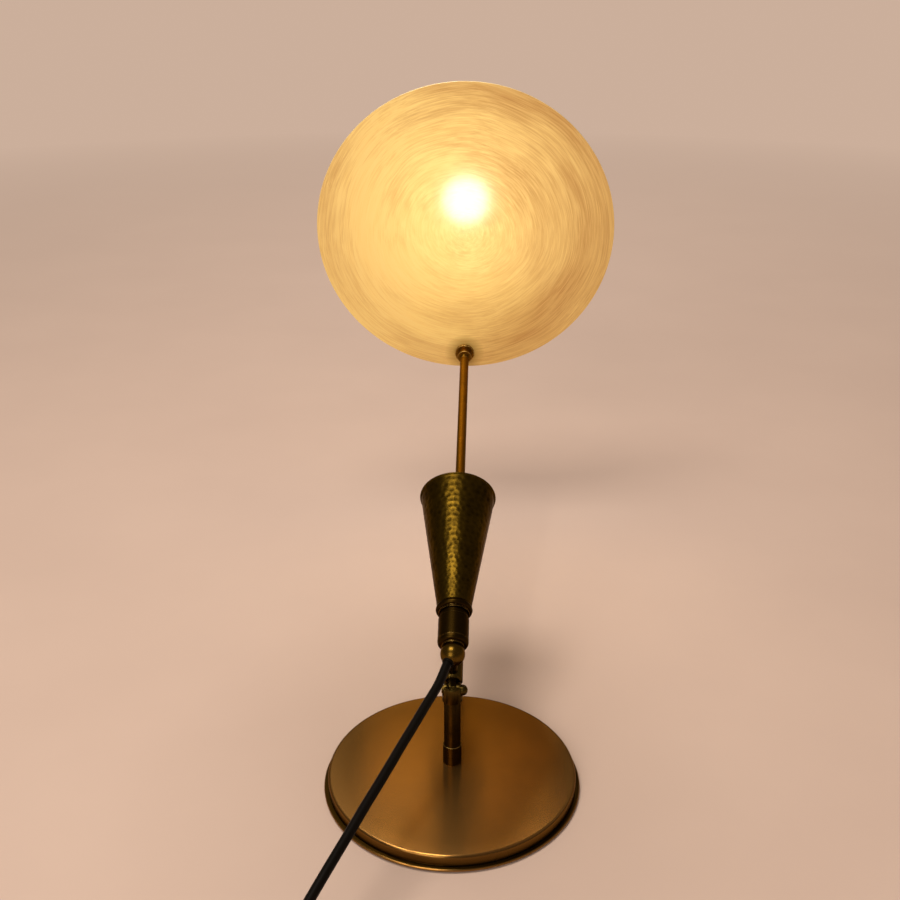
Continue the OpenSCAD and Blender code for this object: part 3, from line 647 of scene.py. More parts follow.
outer = cone_wall(OUTER_ROWS, 0, CONE_START + CONE_EDGE, cone_top - LIP_H - LIP_STEP)
inner = cone_wall(INNER_ROWS, CONE_WALL, cone_top - LIP_H, CONE_START + FLOOR_T + 0.3)
lip_r = MOUTH_R + LIP_OUT
lip_low = cone_top - LIP_H
lip_mid = lip_low + LIP_H / 2
lip = [plain_ring(r, h) for r, h in [
    (MOUTH_R - LIP_STEP, lip_low - 0.02),
    *arc(lip_r - LIP_H / 2, lip_mid, LIP_H / 2, -90, 90, 10),
    (MOUTH_R - CONE_WALL + CONE_EDGE, cone_top),
    (MOUTH_R - CONE_WALL, cone_top - CONE_EDGE)]]
floor_r = FOOT_R - CONE_WALL
floor = [plain_ring(r, h) for r, h in [
    (floor_r, CONE_START + FLOOR_T + 0.1), (floor_r - 0.2, CONE_START + FLOOR_T),
    (NIPPLE_R, CONE_START + FLOOR_T), (NIPPLE_R, CONE_START), (FOOT_R - CONE_EDGE, CONE_START)]]
cone_rows = [outer, *lip, inner, *floor]
cone_radius = np.vstack([rows[0] for rows in cone_rows])
cone_height = np.vstack([rows[1] for rows in cone_rows])
cone_angle = 2 * math.pi * np.arange(CONE_COLUMNS)[None, :] / CONE_COLUMNS
cone_local = np.stack([
    cone_radius * np.cos(cone_angle), cone_radius * np.sin(cone_angle), cone_height], axis=-1)
depth_mark = blow_depth((cone_height - CONE_START) / CONE_LEN, cone_angle / (2 * math.pi))
stand_for("cone_shade", "head", mesh_piece(
    "hammered_cone", in_head[0] + MM * cone_local @ in_head[1],
    grid_faces(len(cone_radius), CONE_COLUMNS, True), {"blow": depth_mark}))
print("cone:", len(pieces["cone_shade"].data.polygons), "faces")

# %% [markdown]
# ## The lamp
# A 50 mm reflector lamp stands in the cone, with its front just inside the lip. Its frosted front
# has fine rings and glows. The light that it throws on the disc is set up with the other lights.

# %% The lamp
LAMP_START = 74.3
LAMP_LEN = 58.9
LAMP_R = 24.8
LAMP_BACK_R = 11
LENS_R = 23.6
LENS_T = 1.2
LENS_SINK = 0.4
LAMP_NECK = 0.16
LAMP_SHAPE = [(0.58, 0.30), (0.79, 0.54), (0.91, 0.81)]
LAMP_RIM_H = 2.6
LAMP_UNDER_RIM = 0.97
LENS_RINGS = 24
RING_DEPTH = 0.12
LEAST_RING = 0.06
LENS_SAG = 0.25
lamp_top = LAMP_START + LAMP_LEN
lens_seat = lamp_top - LENS_SINK - LENS_T
turned("lamp_body", "head", "lamp_can", [
    (0, LAMP_START), (LAMP_BACK_R, LAMP_START), (LAMP_BACK_R, LAMP_START + LAMP_NECK * LAMP_LEN),
    *[(share * LAMP_R, LAMP_START + height * LAMP_LEN) for share, height in LAMP_SHAPE],
    (LAMP_UNDER_RIM * LAMP_R, lamp_top - LAMP_RIM_H), (LAMP_R, lamp_top - LAMP_RIM_H), (LAMP_R, lamp_top),
    (LENS_R + FIT, lamp_top), (LENS_R + FIT, lens_seat), (0, lens_seat)], in_head, cut=0.3)
rings = [(LENS_R * share, lens_seat + LENS_T - RING_DEPTH * (k % 2) - LENS_SAG * share**2)
         for k, share in enumerate(np.linspace(1, LEAST_RING, LENS_RINGS))]
turned("lamp_lens", "head", "lamp_front", [
    (0, lens_seat), (LENS_R, lens_seat), *rings, (0, lens_seat + LENS_T)], in_head, cut=0.15)

# %% [markdown]
# ## The disc and its fixing
# The disc is a flat sheet of brass held near its lower edge. The rings of its surface drift from the
# fixing hole out to the rim, whose centre lies higher up. Its finish, below, does the rest.

# %% The disc
DISC_R = 127
DISC_T = 0.8
DISC_STAND = 5.6
DISC_OFFSET = -114
SPIGOT_R = 4.0
turned("disc", "reflector", "brushed_disc", [
    (SPIGOT_R + FIT, DISC_STAND), (DISC_R, DISC_STAND, DISC_OFFSET),
    (DISC_R, DISC_STAND + DISC_T, DISC_OFFSET), (SPIGOT_R + FIT, DISC_STAND + DISC_T),
], on_disc, cut=0.18, steps=288)

# %% The ball joint at the rod's tip
TIP_SEAT_R = 4.46
THREAD_R = 5.01
FLANGE_R = 8.5
FLANGE_T = 2
SPIGOT_END = 12.4
COLLAR_R = 6.2
COLLAR_LOW = -3.4
MOUTH_HOLE_R = 3.3
flange_low = DISC_STAND - FLANGE_T
mouth_angle = -math.degrees(math.acos(MOUTH_HOLE_R / TIP_SEAT_R))
turned("flange_ring", "reflector", "disc_flange", [
    (0, TIP_SEAT_R), *arc(0, 0, TIP_SEAT_R, 90, 0, 12)[1:], (THREAD_R, 0), (THREAD_R, flange_low),
    (FLANGE_R, flange_low), (FLANGE_R, DISC_STAND), (SPIGOT_R, DISC_STAND), (SPIGOT_R, SPIGOT_END),
    (0, SPIGOT_END)], on_disc, cut=0.5)
turned("collar_ring", "reflector", "disc_collar", [
    (MOUTH_HOLE_R, COLLAR_LOW), *arc(0, 0, TIP_SEAT_R, mouth_angle, 0, 8), (THREAD_R + FIT, -FIT),
    (THREAD_R + FIT, flange_low), (COLLAR_R, flange_low), (COLLAR_R, COLLAR_LOW),
], on_disc, cut=0.4)

# %% [markdown]
# ## The plug
# The plug is a moulded body that narrows towards the cord. Each cut across it is a rounded
# rectangle, given by the formula of a superellipse, whose half width and half height change along
# the body. The relief behind it is a cone with grooves that let it bend.

# %% The plug
RELIEF_LEN = 22
RELIEF_R = 5.5
RELIEF_WALL = 0.6
RELIEF_STEPS = 40
GROOVE_DEPTH = 0.45
GROOVE_EVERY = 8
PLUG_LEN = 34
PLUG_HALF_W = 13
PLUG_HALF_H = 7
PLUG_NARROWS, NARROW_PART = 7, 0.3
PLUG_THINS, THIN_PART = 1.4, 0.4
PLUG_CORNER = 1.4
PLUG_POWER = 5
plug_place = aimed(tail[-1], heading(coil_end + 90))
thin_r = CORD_R / MM + RELIEF_WALL
relief_outline = [
    (thin_r + (RELIEF_R - thin_r) * s - GROOVE_DEPTH * (k % GROOVE_EVERY in (4, 5)), RELIEF_LEN * s)
    for k, s in enumerate(np.linspace(0, 1, RELIEF_STEPS + 1))]
turned("plug_relief", "base", "plug_sleeve", [
    (0, 0), *relief_outline, (0, RELIEF_LEN)], plug_place, cut=0.25, steps=64)


def rounded_bar(name, place, length, half_width, half_height, rows=40, columns=96):
    """A bar along the place's third axis, each cut across which is a superellipse.

    half_width and half_height are functions of the share of the length. The ends draw in on a
    quarter circle, so that their edges are round.
    """
    share = np.linspace(0, 1, rows)[:, None]
    angle = np.linspace(0, 2 * math.pi, columns, endpoint=False)[None, :]
    round_in = PLUG_CORNER / length
    end = np.clip(1 - np.minimum(share, 1 - share) / round_in, 0, 1)
    inset = PLUG_CORNER * (1 - np.sqrt(1 - end**2))
    cosine, sine = np.cos(angle), np.sin(angle)
    across = (half_width(share) - inset) * np.sign(sine) * np.abs(sine) ** (2 / PLUG_POWER)
    up = (half_height(share) - inset) * np.sign(cosine) * np.abs(cosine) ** (2 / PLUG_POWER)
    local = np.stack([across, up, share * length + 0 * angle], axis=-1)
    caps = [local[k] * (0, 0, 1) for k in (0, -1)]
    local = np.concatenate([caps[:1], local, caps[1:]])
    points = place[0] + MM * local @ place[1]
    return mesh_piece(name, points, grid_faces(rows + 2, columns, False))


body_start = plug_place[0] + RELIEF_LEN * MM * plug_place[1][2]
stand_for("plug_body", "base", rounded_bar(
    "plug_moulding", (body_start, plug_place[1]), PLUG_LEN,
    lambda s: PLUG_HALF_W - PLUG_NARROWS * (1 - eased_step(s / NARROW_PART)),
    lambda s: PLUG_HALF_H - PLUG_THINS * (1 - eased_step(s / THIN_PART))))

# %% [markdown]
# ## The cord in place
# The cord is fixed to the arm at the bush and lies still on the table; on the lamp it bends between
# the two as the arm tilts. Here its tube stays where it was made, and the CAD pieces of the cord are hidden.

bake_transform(cord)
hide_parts("cord_free", "cord_coil", "cord_tail")

# %% [markdown]
# ## Building a finish
# A finish is a small network of shader nodes, and a few helpers keep it short: one puts in a node,
# one links or fills its sockets, and the others do arithmetic, blend colours or make noise. Every
# finish first moves the object's coordinates into the place of its piece, so that lathe marks run
# round the axis that the piece was turned on.

# %% Shader helpers
def fill(node, inputs):
    """Gives a node's sockets their values, or links them where another socket is given."""
    for name, value in inputs.items():
        if isinstance(value, bpy.types.NodeSocket):
            node.id_data.links.new(value, node.inputs[name])
        else:
            node.inputs[name].default_value = value


def put(tree, kind, inputs=None, **settings):
    """Adds a node with its settings and inputs, and returns its outputs."""
    node = tree.nodes.new(kind)
    for name, value in settings.items():
        setattr(node, name, value)
    fill(node, inputs or {})
    return node.outputs


def maths(tree, operation, *values, clamp=False):
    """Arithmetic on numbers or sockets."""
    return put(tree, "ShaderNodeMath", dict(enumerate(values)), operation=operation, use_clamp=clamp)[0]


def vectors(tree, operation, *values):
    """Arithmetic on vectors. A length or a distance comes out as Value."""
    return put(tree, "ShaderNodeVectorMath", dict(enumerate(values)), operation=operation)


def blended(tree, share, first, second):
    """A colour between two colours."""
    return put(tree, "ShaderNodeMix", {0: share, 6: first, 7: second}, data_type="RGBA")[2]


def ranged(tree, value, low, high, to_low=0.0, to_high=1.0):
    """Maps one range of numbers onto another and stops at its ends."""
    inputs = {"Value": value, "From Min": low, "From Max": high, "To Min": to_low, "To Max": to_high}
    return put(tree, "ShaderNodeMapRange", inputs)["Result"]


def noise(tree, where, scale, detail, **more):
    """Soft clouds of random light and dark, with finer ones inside them."""
    return put(tree, "ShaderNodeTexNoise", {"Vector": where, "Scale": scale, "Detail": detail, **more})


def bumped(tree, height, strength, distance):
    """The direction that a surface faces when a height lifts it, distance metres at most."""
    return put(tree, "ShaderNodeBump", {"Height": height, "Strength": strength, "Distance": distance})[0]


def marked(tree, name):
    """A mark that the mesh carries."""
    return put(tree, "ShaderNodeAttribute", attribute_name=name)["Fac"]


def new_group(name, inputs, outputs):
    """A node group that reads coordinates and numbers, and gives numbers.

    Returns the group, what it is given, and the node that its results go to.
    """
    group = bpy.data.node_groups.new(name, "ShaderNodeTree")
    group.interface.new_socket("Vector", in_out="INPUT", socket_type="NodeSocketVector")
    for label, value in inputs.items():
        socket = group.interface.new_socket(label, in_out="INPUT", socket_type="NodeSocketFloat")
        socket.default_value = value
    for label in outputs:
        group.interface.new_socket(label, in_out="OUTPUT", socket_type="NodeSocketFloat")
    return group, group.nodes.new("NodeGroupInput").outputs, group.nodes.new("NodeGroupOutput")


# %% [markdown]
# ### Lathe marks and brushing
# A tool that circles an axis leaves lines whose pattern changes fast with the radius and the height,
# and slowly round the axis. So the noise reads the radius and the height stretched hundreds of times,
# and the direction round the axis, as a cosine and a sine, only a few times. Arcs come out, each as
# long as the slow part allows.

# %% Group: circling marks
circling, given, result = new_group(
    "Circling marks", {"Lines per metre": 2000.0, "Arcs": 6.0}, ["Height", "Radius"])
parts = put(circling, "ShaderNodeSeparateXYZ", {0: given["Vector"]})
flat = put(circling, "ShaderNodeCombineXYZ", {0: parts[0], 1: parts[1]})[0]
radius = vectors(circling, "LENGTH", flat)["Value"]
compass = put(circling, "ShaderNodeSeparateXYZ", {0: vectors(circling, "NORMALIZE", flat)[0]})
marks_at = put(circling, "ShaderNodeCombineXYZ", {
    0: maths(circling, "MULTIPLY", radius, given["Lines per metre"]),
    1: maths(circling, "MULTIPLY", compass[0], given["Arcs"]),
    2: maths(circling, "MULTIPLY", compass[1], given["Arcs"])})
marks = put(circling, "ShaderNodeTexNoise", {
    "Vector": marks_at[0], "W": maths(circling, "MULTIPLY", parts[2], given["Lines per metre"]),
    "Scale": 1.0, "Detail": 3.0, "Roughness": 0.6}, noise_dimensions="4D")
fill(result, {"Height": marks["Fac"], "Radius": radius})


def circles(tree, where, lines, arcs=6.0):
    """Circling marks round the third axis: their height, and the radius."""
    inputs = {"Vector": where, "Lines per metre": lines, "Arcs": arcs}
    return put(tree, "ShaderNodeGroup", inputs, node_tree=circling)


# %% [markdown]
# ### Patina
# Brass that is handled and wiped grows cloudy: broad soft stains with finer ones inside them. Two
# noises of different size are added, and the sum is spread to the full range.

# %% Group: patina
patina, given, result = new_group("Patina", {"Clouds per metre": 30.0}, ["Stain"])
clouds = given["Clouds per metre"]
broad = noise(patina, given["Vector"], clouds, 5.0, Roughness=0.6, Distortion=0.4)["Fac"]
fine = noise(patina, given["Vector"], maths(patina, "MULTIPLY", clouds, 7.0), 4.0)["Fac"]
both = maths(patina, "MULTIPLY_ADD", fine, 0.35, maths(patina, "MULTIPLY", broad, 0.65))
fill(result, {"Stain": ranged(patina, both, 0.30, 0.70)})


def stains(tree, where, clouds):
    """Patina, from 0 where it is clean to 1 where it is dark."""
    inputs = {"Vector": where, "Clouds per metre": clouds}
    return put(tree, "ShaderNodeGroup", inputs, node_tree=patina)["Stain"]


# %% [markdown]
# ### Worn edges
# The turned pieces carry a mark on their rounded corners. Where it is 1 the patina has worn
# off, but not everywhere alike, so the mark is broken up by a fine noise.

# %% Group: worn edges
worn, given, result = new_group("Worn edges", {"Mark": 0.0}, ["Wear"])
chips = ranged(worn, noise(worn, given["Vector"], 900.0, 2.0)["Fac"], 0.35, 0.6)
fill(result, {"Wear": maths(worn, "MULTIPLY", given["Mark"], chips)})

# %% [markdown]
# ### The brass finishes
# One function builds every brass finish: a light and a dark colour blended by the patina, circling
# marks that change the colour a little and lift the surface by a few hundredths of a millimetre, and
# bright edges. The Specular Tint keeps old brass from turning white at grazing angles.

# %% Brass
EDGE_TINT = (0.62, 0.56, 0.50, 1)


def new_material(name, place):
    """A material that is still empty.

    Returns the material, its tree, its Principled shader, and the object's coordinates as they are
    seen from a place on the lamp.
    """
    material = bpy.data.materials.new(name)
    material.use_nodes = True
    tree = material.node_tree
    origin, axes = place
    inputs = {"Vector": put(tree, "ShaderNodeTexCoord")["Object"], "Location": tuple(origin),
              "Rotation": tuple(Matrix(axes.T.tolist()).to_euler())}
    where = put(tree, "ShaderNodeMapping", inputs, vector_type="TEXTURE")[0]
    return material, tree, tree.nodes["Principled BSDF"], where


def brass(name, place, colours, roughness, clouds, bright, lines=2500.0, line_share=0.35, rim=None,
          lift=0.00003):
    """Aged brass. Its light and dark colours and its roughness run from the clean to the stained.

    rim says from which radius to which one a painted sheen band makes it brighter, and how much.
    """
    material, tree, shader, where = new_material(name, place)
    lathe = circles(tree, where, lines)
    inputs = {"Vector": where, "Mark": marked(tree, "edge")}
    wear_and_sheen = put(tree, "ShaderNodeGroup", inputs, node_tree=worn)["Wear"]
    # Where rim is given, a band near the edge is blended to the bright colour as well: a painted sheen,
    # added to the worn edges.
    if rim:
        wear_and_sheen = maths(tree, "MAXIMUM", wear_and_sheen, ranged(tree, lathe["Radius"], rim[0], rim[1], 0.0, rim[2]))
    shade = maths(tree, "MULTIPLY_ADD", maths(tree, "SUBTRACT", lathe["Height"], 0.5), line_share,
                  stains(tree, where, clouds), clamp=True)
    colour = blended(tree, shade, *[(*colour, 1) for colour in colours])
    fill(shader, {
        "Base Color": blended(tree, wear_and_sheen, colour, (*bright, 1)),
        "Roughness": ranged(tree, shade, 0.0, 1.0, *roughness),
        "Metallic": 1.0, "Specular Tint": EDGE_TINT, "Normal": bumped(tree, lathe["Height"], 0.25, lift)})
    return material


# %% [markdown]
# ### Finishes of each piece
# The colours were chosen so that each piece looks right in plain light.

# %% Brass finishes
BASE_COLOURS = ((0.35, 0.170, 0.042), (0.25, 0.118, 0.028))
AGED_COLOURS = ((0.105, 0.066, 0.014), (0.030, 0.018, 0.004))
HOLDER_COLOURS = ((0.038, 0.020, 0.003), (0.012, 0.006, 0.001))
ROD_COLOURS = ((0.22, 0.103, 0.008), (0.13, 0.060, 0.005))
BALL_COLOURS = ((0.14, 0.078, 0.011), (0.07, 0.037, 0.005))
PLAIN_COLOURS = ((0.72, 0.60, 0.36), (0.50, 0.40, 0.22))
BRIGHT = (0.85, 0.66, 0.33)
WORN = (0.42, 0.26, 0.075)
DARK_WORN = (0.26, 0.155, 0.04)
# The base's bright colour serves both its worn edges and a painted sheen band near its edge, placed by the
# next line.
BASE_WORN_AND_SHEEN = (0.48, 0.245, 0.065)
BASE_RIM_SHEEN = (0.070, 0.0805, 0.35)
finish = {"base": brass("base brass", on_table, BASE_COLOURS, (0.22, 0.28), 5.0, BASE_WORN_AND_SHEEN, lines=100.0,
                        line_share=0.2, rim=BASE_RIM_SHEEN, lift=0.000003)}
for name, *values in [
        ("stem", on_stem, AGED_COLOURS, (0.24, 0.42), 60.0, WORN),
        ("arm", on_arm, AGED_COLOURS, (0.22, 0.40), 60.0, WORN),
        ("screw", on_screw, AGED_COLOURS, (0.22, 0.40), 80.0, WORN),
        ("rod", on_arm, ROD_COLOURS, (0.24, 0.40), 40.0, WORN),
        ("ball", in_head, BALL_COLOURS, (0.18, 0.34), 60.0, WORN),
        ("holder", in_head, HOLDER_COLOURS, (0.24, 0.42), 60.0, DARK_WORN),
        ("joint", on_disc, ROD_COLOURS, (0.22, 0.40), 60.0, WORN),
        ("plain", in_head, PLAIN_COLOURS, (0.25, 0.40), 60.0, BRIGHT),
        ("plain foot", on_stem, PLAIN_COLOURS, (0.25, 0.40), 60.0, BRIGHT),
        ("plain disc", on_disc, PLAIN_COLOURS, (0.25, 0.40), 60.0, BRIGHT)]:
    finish[name] = brass(name + " brass", *values)

# %% [markdown]
# ### Painted shade and grime on the base
# The side wall is painted darker towards the groove above the flange: mostly painted shade under the
# shoulder and in the groove, with some real grime in the groove. The darkening ends just inside the
# flange's rounded edge, which is left lit. The top is also painted darker towards the back. The top was
# rubbed from side to side, which draws a reflection out towards the eye: that is why the stem is mirrored as
# a long streak.

# %% Painted shade and grime
BASE_SHADE_AND_GRIME = (0.06, 0.03, 0.004, 1)
SHADE_FREE_EDGE = 0.3
SHOULDER_EDGE = 0.0003
tree = finish["base"].node_tree
shader = tree.nodes["Principled BSDF"]
where = put(tree, "ShaderNodeTexCoord")["Object"]
parts = put(tree, "ShaderNodeSeparateXYZ", {0: where})
from_middle = vectors(tree, "LENGTH", vectors(tree, "MULTIPLY", where, (1, 1, 0))[0])["Value"]
groove_top = (flange_top + GROOVE) * MM
# Painted shade: the wall darkens down towards the groove, but less so on the flange's rounded edge.
low_down = ranged(tree, parts[2], groove_top, base_top * MM - SHOULDER_EDGE, 0.96, 0.0)
low_down = maths(tree, "POWER", low_down, 0.25)
not_edge = ranged(tree, from_middle, (base_r - BEAD_R) * MM, (base_r - SHADE_FREE_EDGE) * MM, 1.0, 0.25)
# The top is painted darker towards the back.
behind = ranged(tree, parts[1], -0.03, 0.06, 0.0, 0.6)
share = maths(tree, "MAXIMUM", maths(tree, "MULTIPLY", low_down, not_edge), behind)
plain = shader.inputs["Base Color"].links[0].from_socket
fill(shader, {
    "Base Color": blended(tree, share, plain, BASE_SHADE_AND_GRIME), "Anisotropic": 0.9, "Anisotropic Rotation": 0.25,
    "Tangent": put(tree, "ShaderNodeTangent", direction_type="RADIAL", axis="Y")[0]})

# %% [markdown]
# ### The hammered finish
# The bowls of the blows are painted darker than the ridges: partly patina that sits in them, partly
# painted shade. The cone carries the depth of each point as a mark, so the colour can follow the blows
# exactly.

# %% Hammered brass
HAMMER_LIGHT = (0.10, 0.057, 0.005, 1)
HAMMER_DARK = (0.010, 0.005, 0.001, 1)
finish["hammered"], tree, shader, where = new_material("hammered brass", in_head)
stained = maths(tree, "MULTIPLY", stains(tree, where, 45.0), 0.85)
# Patina and painted shade: the deeper a point lies in a bowl, the darker it is.
shade = maths(tree, "MULTIPLY_ADD", marked(tree, "blow"), 0.28, stained, clamp=True)
fill(shader, {
    "Base Color": blended(tree, shade, HAMMER_LIGHT, HAMMER_DARK),
    "Roughness": ranged(tree, shade, 0.0, 1.0, 0.22, 0.46), "Metallic": 1.0, "Specular Tint": EDGE_TINT,
    "Normal": bumped(tree, noise(tree, where, 1800.0, 3.0)["Fac"], 0.2, 0.00004)})

# %% [markdown]
# ### The brushed disc
# The disc was brushed by hand in wide circles about its middle, so the arcs wander, cross and differ
# in width. Broad zones and three finer sets of circling marks are blended. The base stays rough, and
# a thin clear lacquer over it gives the small white reflection of the lamp. Painted light is laid over
# this: the middle is kept light and darkens towards the rim, a painted pool of the lamp's light; a
# painted shadow lies round the fixing; and the rim carries a painted highlight. The colour also runs
# darker towards the right.

# %% Brushed brass
DISC_LIGHT = (1.0, 0.78, 0.30, 1)
DISC_DARK = (0.60, 0.34, 0.10, 1)
DISC_RIM_HIGHLIGHT = (1.0, 0.84, 0.48, 1)
# The dark olive of the painted shadow round the fixing, partly patina.
DISC_FIXING_SHADOW = (0.36, 0.21, 0.02, 1)
WANDER = (0.012, 0.012, 0.012)
BRUSHINGS = [(30.0, 0.8), (110.0, 2.0), (850.0, 3.0), (2200.0, 4.5)]
FIXING_AT = (0, -DISC_OFFSET * MM, 0)
disc_middle = (on_disc[0] + DISC_OFFSET * MM * on_disc[1][1], on_disc[1])
finish["brushed"], tree, shader, where = new_material("brushed brass", disc_middle)
drift = vectors(tree, "SUBTRACT", noise(tree, where, 9.0, 1.0)["Color"], (0.5, 0.5, 0.5))[0]
wandering = vectors(tree, "MULTIPLY_ADD", drift, WANDER, where)[0]
brushed = [circles(tree, wandering, lines, arcs) for lines, arcs in BRUSHINGS]
zones, broad, mid, fine = (marks["Height"] for marks in brushed)
arc_sum = maths(tree, "MULTIPLY_ADD", broad, 0.12, maths(tree, "MULTIPLY", mid, 0.5))
arc_sum = maths(tree, "MULTIPLY_ADD", fine, 0.38, arc_sum)
arc_shade = ranged(tree, arc_sum, 0.42, 0.58)
# Painted light: the middle of the disc is kept light and its arcs faint, darkening towards the rim, a
# painted pool of the lamp's light.
light_falloff_share = ranged(tree, brushed[-1]["Radius"], 0.03, 0.11, 0.2, 0.85)
side_share = ranged(tree, put(tree, "ShaderNodeSeparateXYZ", {0: where})[0], -0.08, 0.11, -0.3, 0.3)
zone_shade = maths(tree, "MULTIPLY", ranged(tree, zones, 0.38, 0.68), light_falloff_share)
shade = maths(tree, "MULTIPLY_ADD", maths(tree, "MULTIPLY", arc_shade, light_falloff_share), 0.55, zone_shade)
shade = maths(tree, "ADD", maths(tree, "MULTIPLY", shade, 0.7), side_share, clamp=True)
# Painted shadow round the fixing: the disc turns dark olive close to it, partly patina, partly painted
# shadow of the fixing and the rod.
shadow_near_fixing = ranged(tree, vectors(tree, "DISTANCE", where, FIXING_AT)["Value"], 0.008, 0.019, 0.8, 0.0)
colour = blended(tree, shadow_near_fixing, blended(tree, shade, DISC_LIGHT, DISC_DARK), DISC_FIXING_SHADOW)
# The rounded rim is painted lighter: partly edge wear, partly a painted highlight along the edge.
fill(shader, {
    "Base Color": blended(tree, marked(tree, "edge"), colour, DISC_RIM_HIGHLIGHT),
    "Roughness": ranged(tree, arc_shade, 0.0, 1.0, 0.54, 0.68), "Metallic": 1.0,
    "Coat Weight": 0.85, "Coat Roughness": 0.13, "Normal": bumped(tree, arc_sum, 0.3, 0.00008)})

# %% [markdown]
# ### The other finishes
# The rest are simple: felt, steel, white ware, the frosted front of the lamp, and black plastic and
# rubber. Each still gets a little unevenness, because nothing real is one flat colour.

# %% Plain finishes
def simple(name, place, light, dark, roughness, metallic=0.0, scale=300.0, lift=0.00003, strength=0.3):
    """A finish whose colour and roughness wander between two values, with a fine grain."""
    material, tree, shader, where = new_material(name, place)
    stain = stains(tree, where, scale / 8)
    fill(shader, {
        "Base Color": blended(tree, stain, (*light, 1), (*dark, 1)), "Metallic": metallic,
        "Roughness": ranged(tree, stain, 0.0, 1.0, *roughness),
        "Normal": bumped(tree, noise(tree, where, scale, 4.0)["Fac"], strength, lift)})
    return material


for name, *values in [
        ("felt", on_table, (0.05, 0.05, 0.05), (0.02, 0.02, 0.02), (0.9, 1.0), 0.0, 1500.0, 0.0003, 0.8),
        ("steel", on_table, (0.70, 0.70, 0.71), (0.55, 0.55, 0.56), (0.22, 0.38), 1.0),
        ("ballast", on_table, (0.36, 0.37, 0.39), (0.24, 0.25, 0.27), (0.4, 0.6), 1.0),
        ("white ware", in_head, (0.88, 0.87, 0.83), (0.80, 0.78, 0.73), (0.15, 0.25)),
        ("lamp white", in_head, (0.86, 0.86, 0.84), (0.78, 0.78, 0.75), (0.35, 0.5)),
        ("black plastic", on_table, (0.022, 0.022, 0.022), (0.012, 0.012, 0.012), (0.36, 0.5), 0.0,
         1400.0, 0.00005),
        ("tie rubber", on_table, (0.025, 0.024, 0.023), (0.012, 0.012, 0.012), (0.5, 0.65), 0.0, 900.0),
        ("cord sheath", on_table, (0.006, 0.004, 0.0024), (0.003, 0.002, 0.0012), (0.42, 0.52), 0.0, 500.0)]:
    finish[name] = simple(name, *values)
fill(finish["cord sheath"].node_tree.nodes["Principled BSDF"], {"Specular IOR Level": 0.06})

# %% The lamp's glowing front
GLASS = ((1.0, 0.95, 0.82, 1), (0.9, 0.82, 0.66, 1))
GLOW = ((1.0, 0.80, 0.48, 1), (0.86, 0.64, 0.34, 1))
GLOW_STRENGTH = 1.1
finish["glow"], tree, shader, where = new_material("glowing front", in_head)
frost = noise(tree, where, 700.0, 3.0)["Fac"]
frosting = ranged(tree, frost, 0.3, 0.7)
fill(shader, {
    "Base Color": blended(tree, frosting, *GLASS), "Emission Color": blended(tree, frosting, *GLOW),
    "Emission Strength": GLOW_STRENGTH, "Roughness": 0.35, "Normal": bumped(tree, frost, 0.4, 0.0001)})

# %% Give every piece its finish
NODES_OF = {
    "base": "base_cover",
    "felt": "base_pad",
    "ballast": "base_weight",
    "steel": "foot_washer lamp_pins plug_pins",
    "stem": "foot_ferrule stem_tube knuckle_base",
    "screw": "clamp_nut clamp_screw",
    "arm": "knuckle_head ball_stud",
    "rod": "rod rod_tip",
    "ball": "cable_ball",
    "holder": "holder_cup holder_band holder_sleeve bead_ring",
    "hammered": "cone_shade",
    "white ware": "lamp_socket",
    "lamp white": "lamp_body",
    "glow": "lamp_lens",
    "brushed": "disc",
    "joint": "flange_ring collar_ring",
    "plain": "nipple nipple_nut",
    "plain foot": "foot_nut",
    "plain disc": "rear_washer rear_nut",
    "tie rubber": "cord_tie",
    "cord sheath": "cord_bush",
    "black plastic": "plug_relief plug_body",
}
for name, nodes in NODES_OF.items():
    for node in nodes.split():
        piece = pieces.get(node, frame["nodes"][node])
        piece.data.materials.clear()
        piece.data.materials.append(finish[name])
cord.data.materials.append(finish["cord sheath"])
print("finishes:", len(finish))

# %% [markdown]
# ## Floor and light
# A plain pale floor runs back past the edge of the view. Three soft lights, above, in front and far
# behind, and an even sky light the lamp at a level at which its colours look as they were chosen.

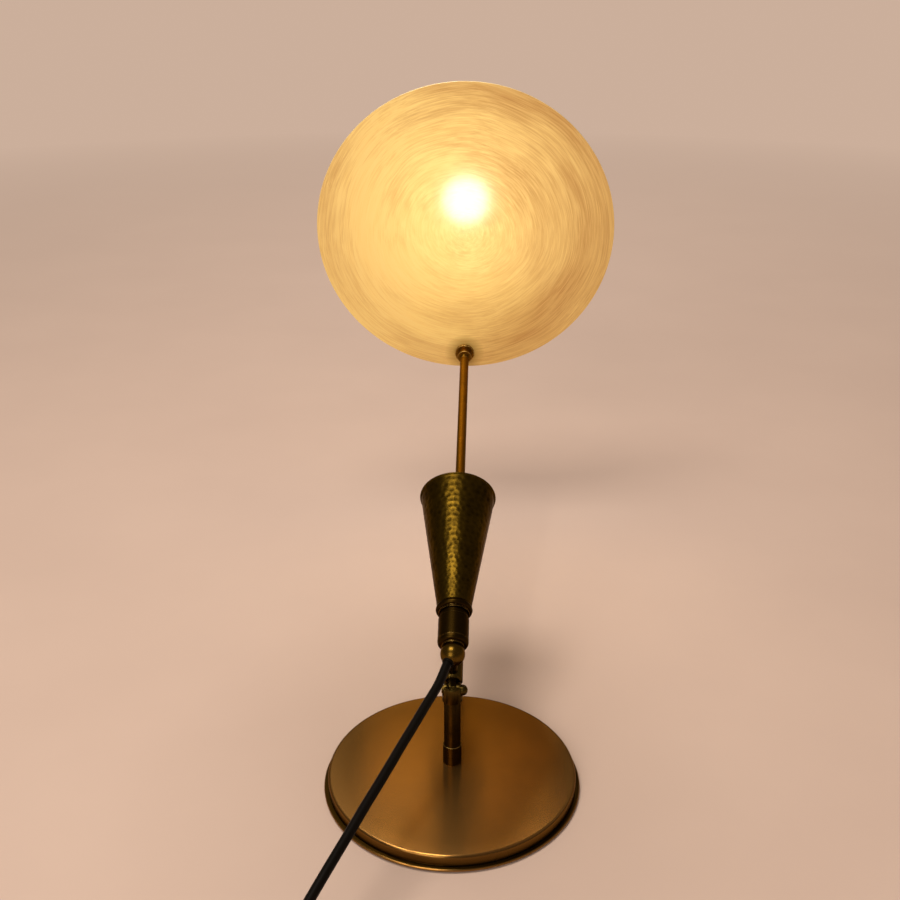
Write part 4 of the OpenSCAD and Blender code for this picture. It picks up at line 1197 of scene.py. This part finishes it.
# %% The floor
FLOOR_HALF = 12.0
FLOOR_COLOUR = ((0.66, 0.49, 0.40, 1), (0.63, 0.465, 0.38, 1))
FAR_COLOUR = (0.60, 0.43, 0.33, 1)
FAR_FROM, FAR_TO = 0.6, 2.6
floor_points = FLOOR_HALF * np.array([(-1, -1, 0), (1, -1, 0), (1, 1, 0), (-1, 1, 0)], float)
table_top = mesh_piece("table_top", floor_points, np.array([[0, 1, 2, 3]]))
ground, tree, shader, where = new_material("table top", on_table)
speckle = ranged(tree, noise(tree, where, 6.0, 6.0)["Fac"], 0.3, 0.7)
fill(shader, {"Base Color": blended(tree, speckle, *FLOOR_COLOUR), "Roughness": 0.75})
away = ranged(tree, vectors(tree, "LENGTH", where)["Value"], FAR_FROM, FAR_TO)
rays = put(tree, "ShaderNodeLightPath")
seen = maths(tree, "MAXIMUM", maths(tree, "MAXIMUM", rays["Is Camera Ray"], rays["Is Glossy Ray"]),
             rays["Is Transmission Ray"])
far = put(tree, "ShaderNodeEmission", {"Color": FAR_COLOUR})[0]
ground_mix = put(tree, "ShaderNodeMixShader", {
    0: maths(tree, "MULTIPLY", away, seen), 1: shader.outputs[0], 2: far})
fill(tree.nodes["Material Output"], {"Surface": ground_mix[0]})
table_top.data.materials.append(ground)

# %% The lights
def soft_light(name, place, target, size, watts, colour):
    """A square lamp that faces a point."""
    data = bpy.data.lights.new(name, "AREA")
    data.size = size
    data.energy = watts
    data.color = colour
    light = add_object(name, data)
    away = np.array(place, float) - np.array(target, float)
    light.matrix_world = Matrix.Translation(place) @ Matrix(aimed(place, away)[1].T.tolist()).to_4x4()
    return light


AIM = (0, 0.15, 0.15)
soft_light("key", (-0.44, -0.15, 1.82), AIM, 0.8, 21, (1.0, 0.93, 0.84))
soft_light("fill", (-0.9, -2.1, 1.3), AIM, 1.4, 26, (1.0, 0.90, 0.80))
soft_light("back", (0, 1.95, 1.41), AIM, 0.6, 12, (1.0, 0.92, 0.84))

# %% [markdown]
# The disc shows the lit lamp as a small bright spot. A round light in front of the disc, which the
# camera doesn't see, stands for the beam. It rides on the lampholder.

# %% The lamp's beam
BEAM_PLACE = (-0.0035, 0.144, 0.2075)
BEAM_TARGET = (0.003, 0.371, 0.303)
beam = soft_light("beam", BEAM_PLACE, BEAM_TARGET, size=0.046, watts=0.16, colour=(1.0, 0.93, 0.86))
beam.data.shape = "DISK"
beam.visible_camera = False
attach(beam, "head")

# %% The sky
SKY_COLOUR = (0.80, 0.66, 0.56, 1)
SKY_STRENGTH = 0.28
world = bpy.data.worlds.new("room")
world.use_nodes = True
fill(world.node_tree.nodes["Background"], {"Color": SKY_COLOUR, "Strength": SKY_STRENGTH})
bpy.context.scene.world = world
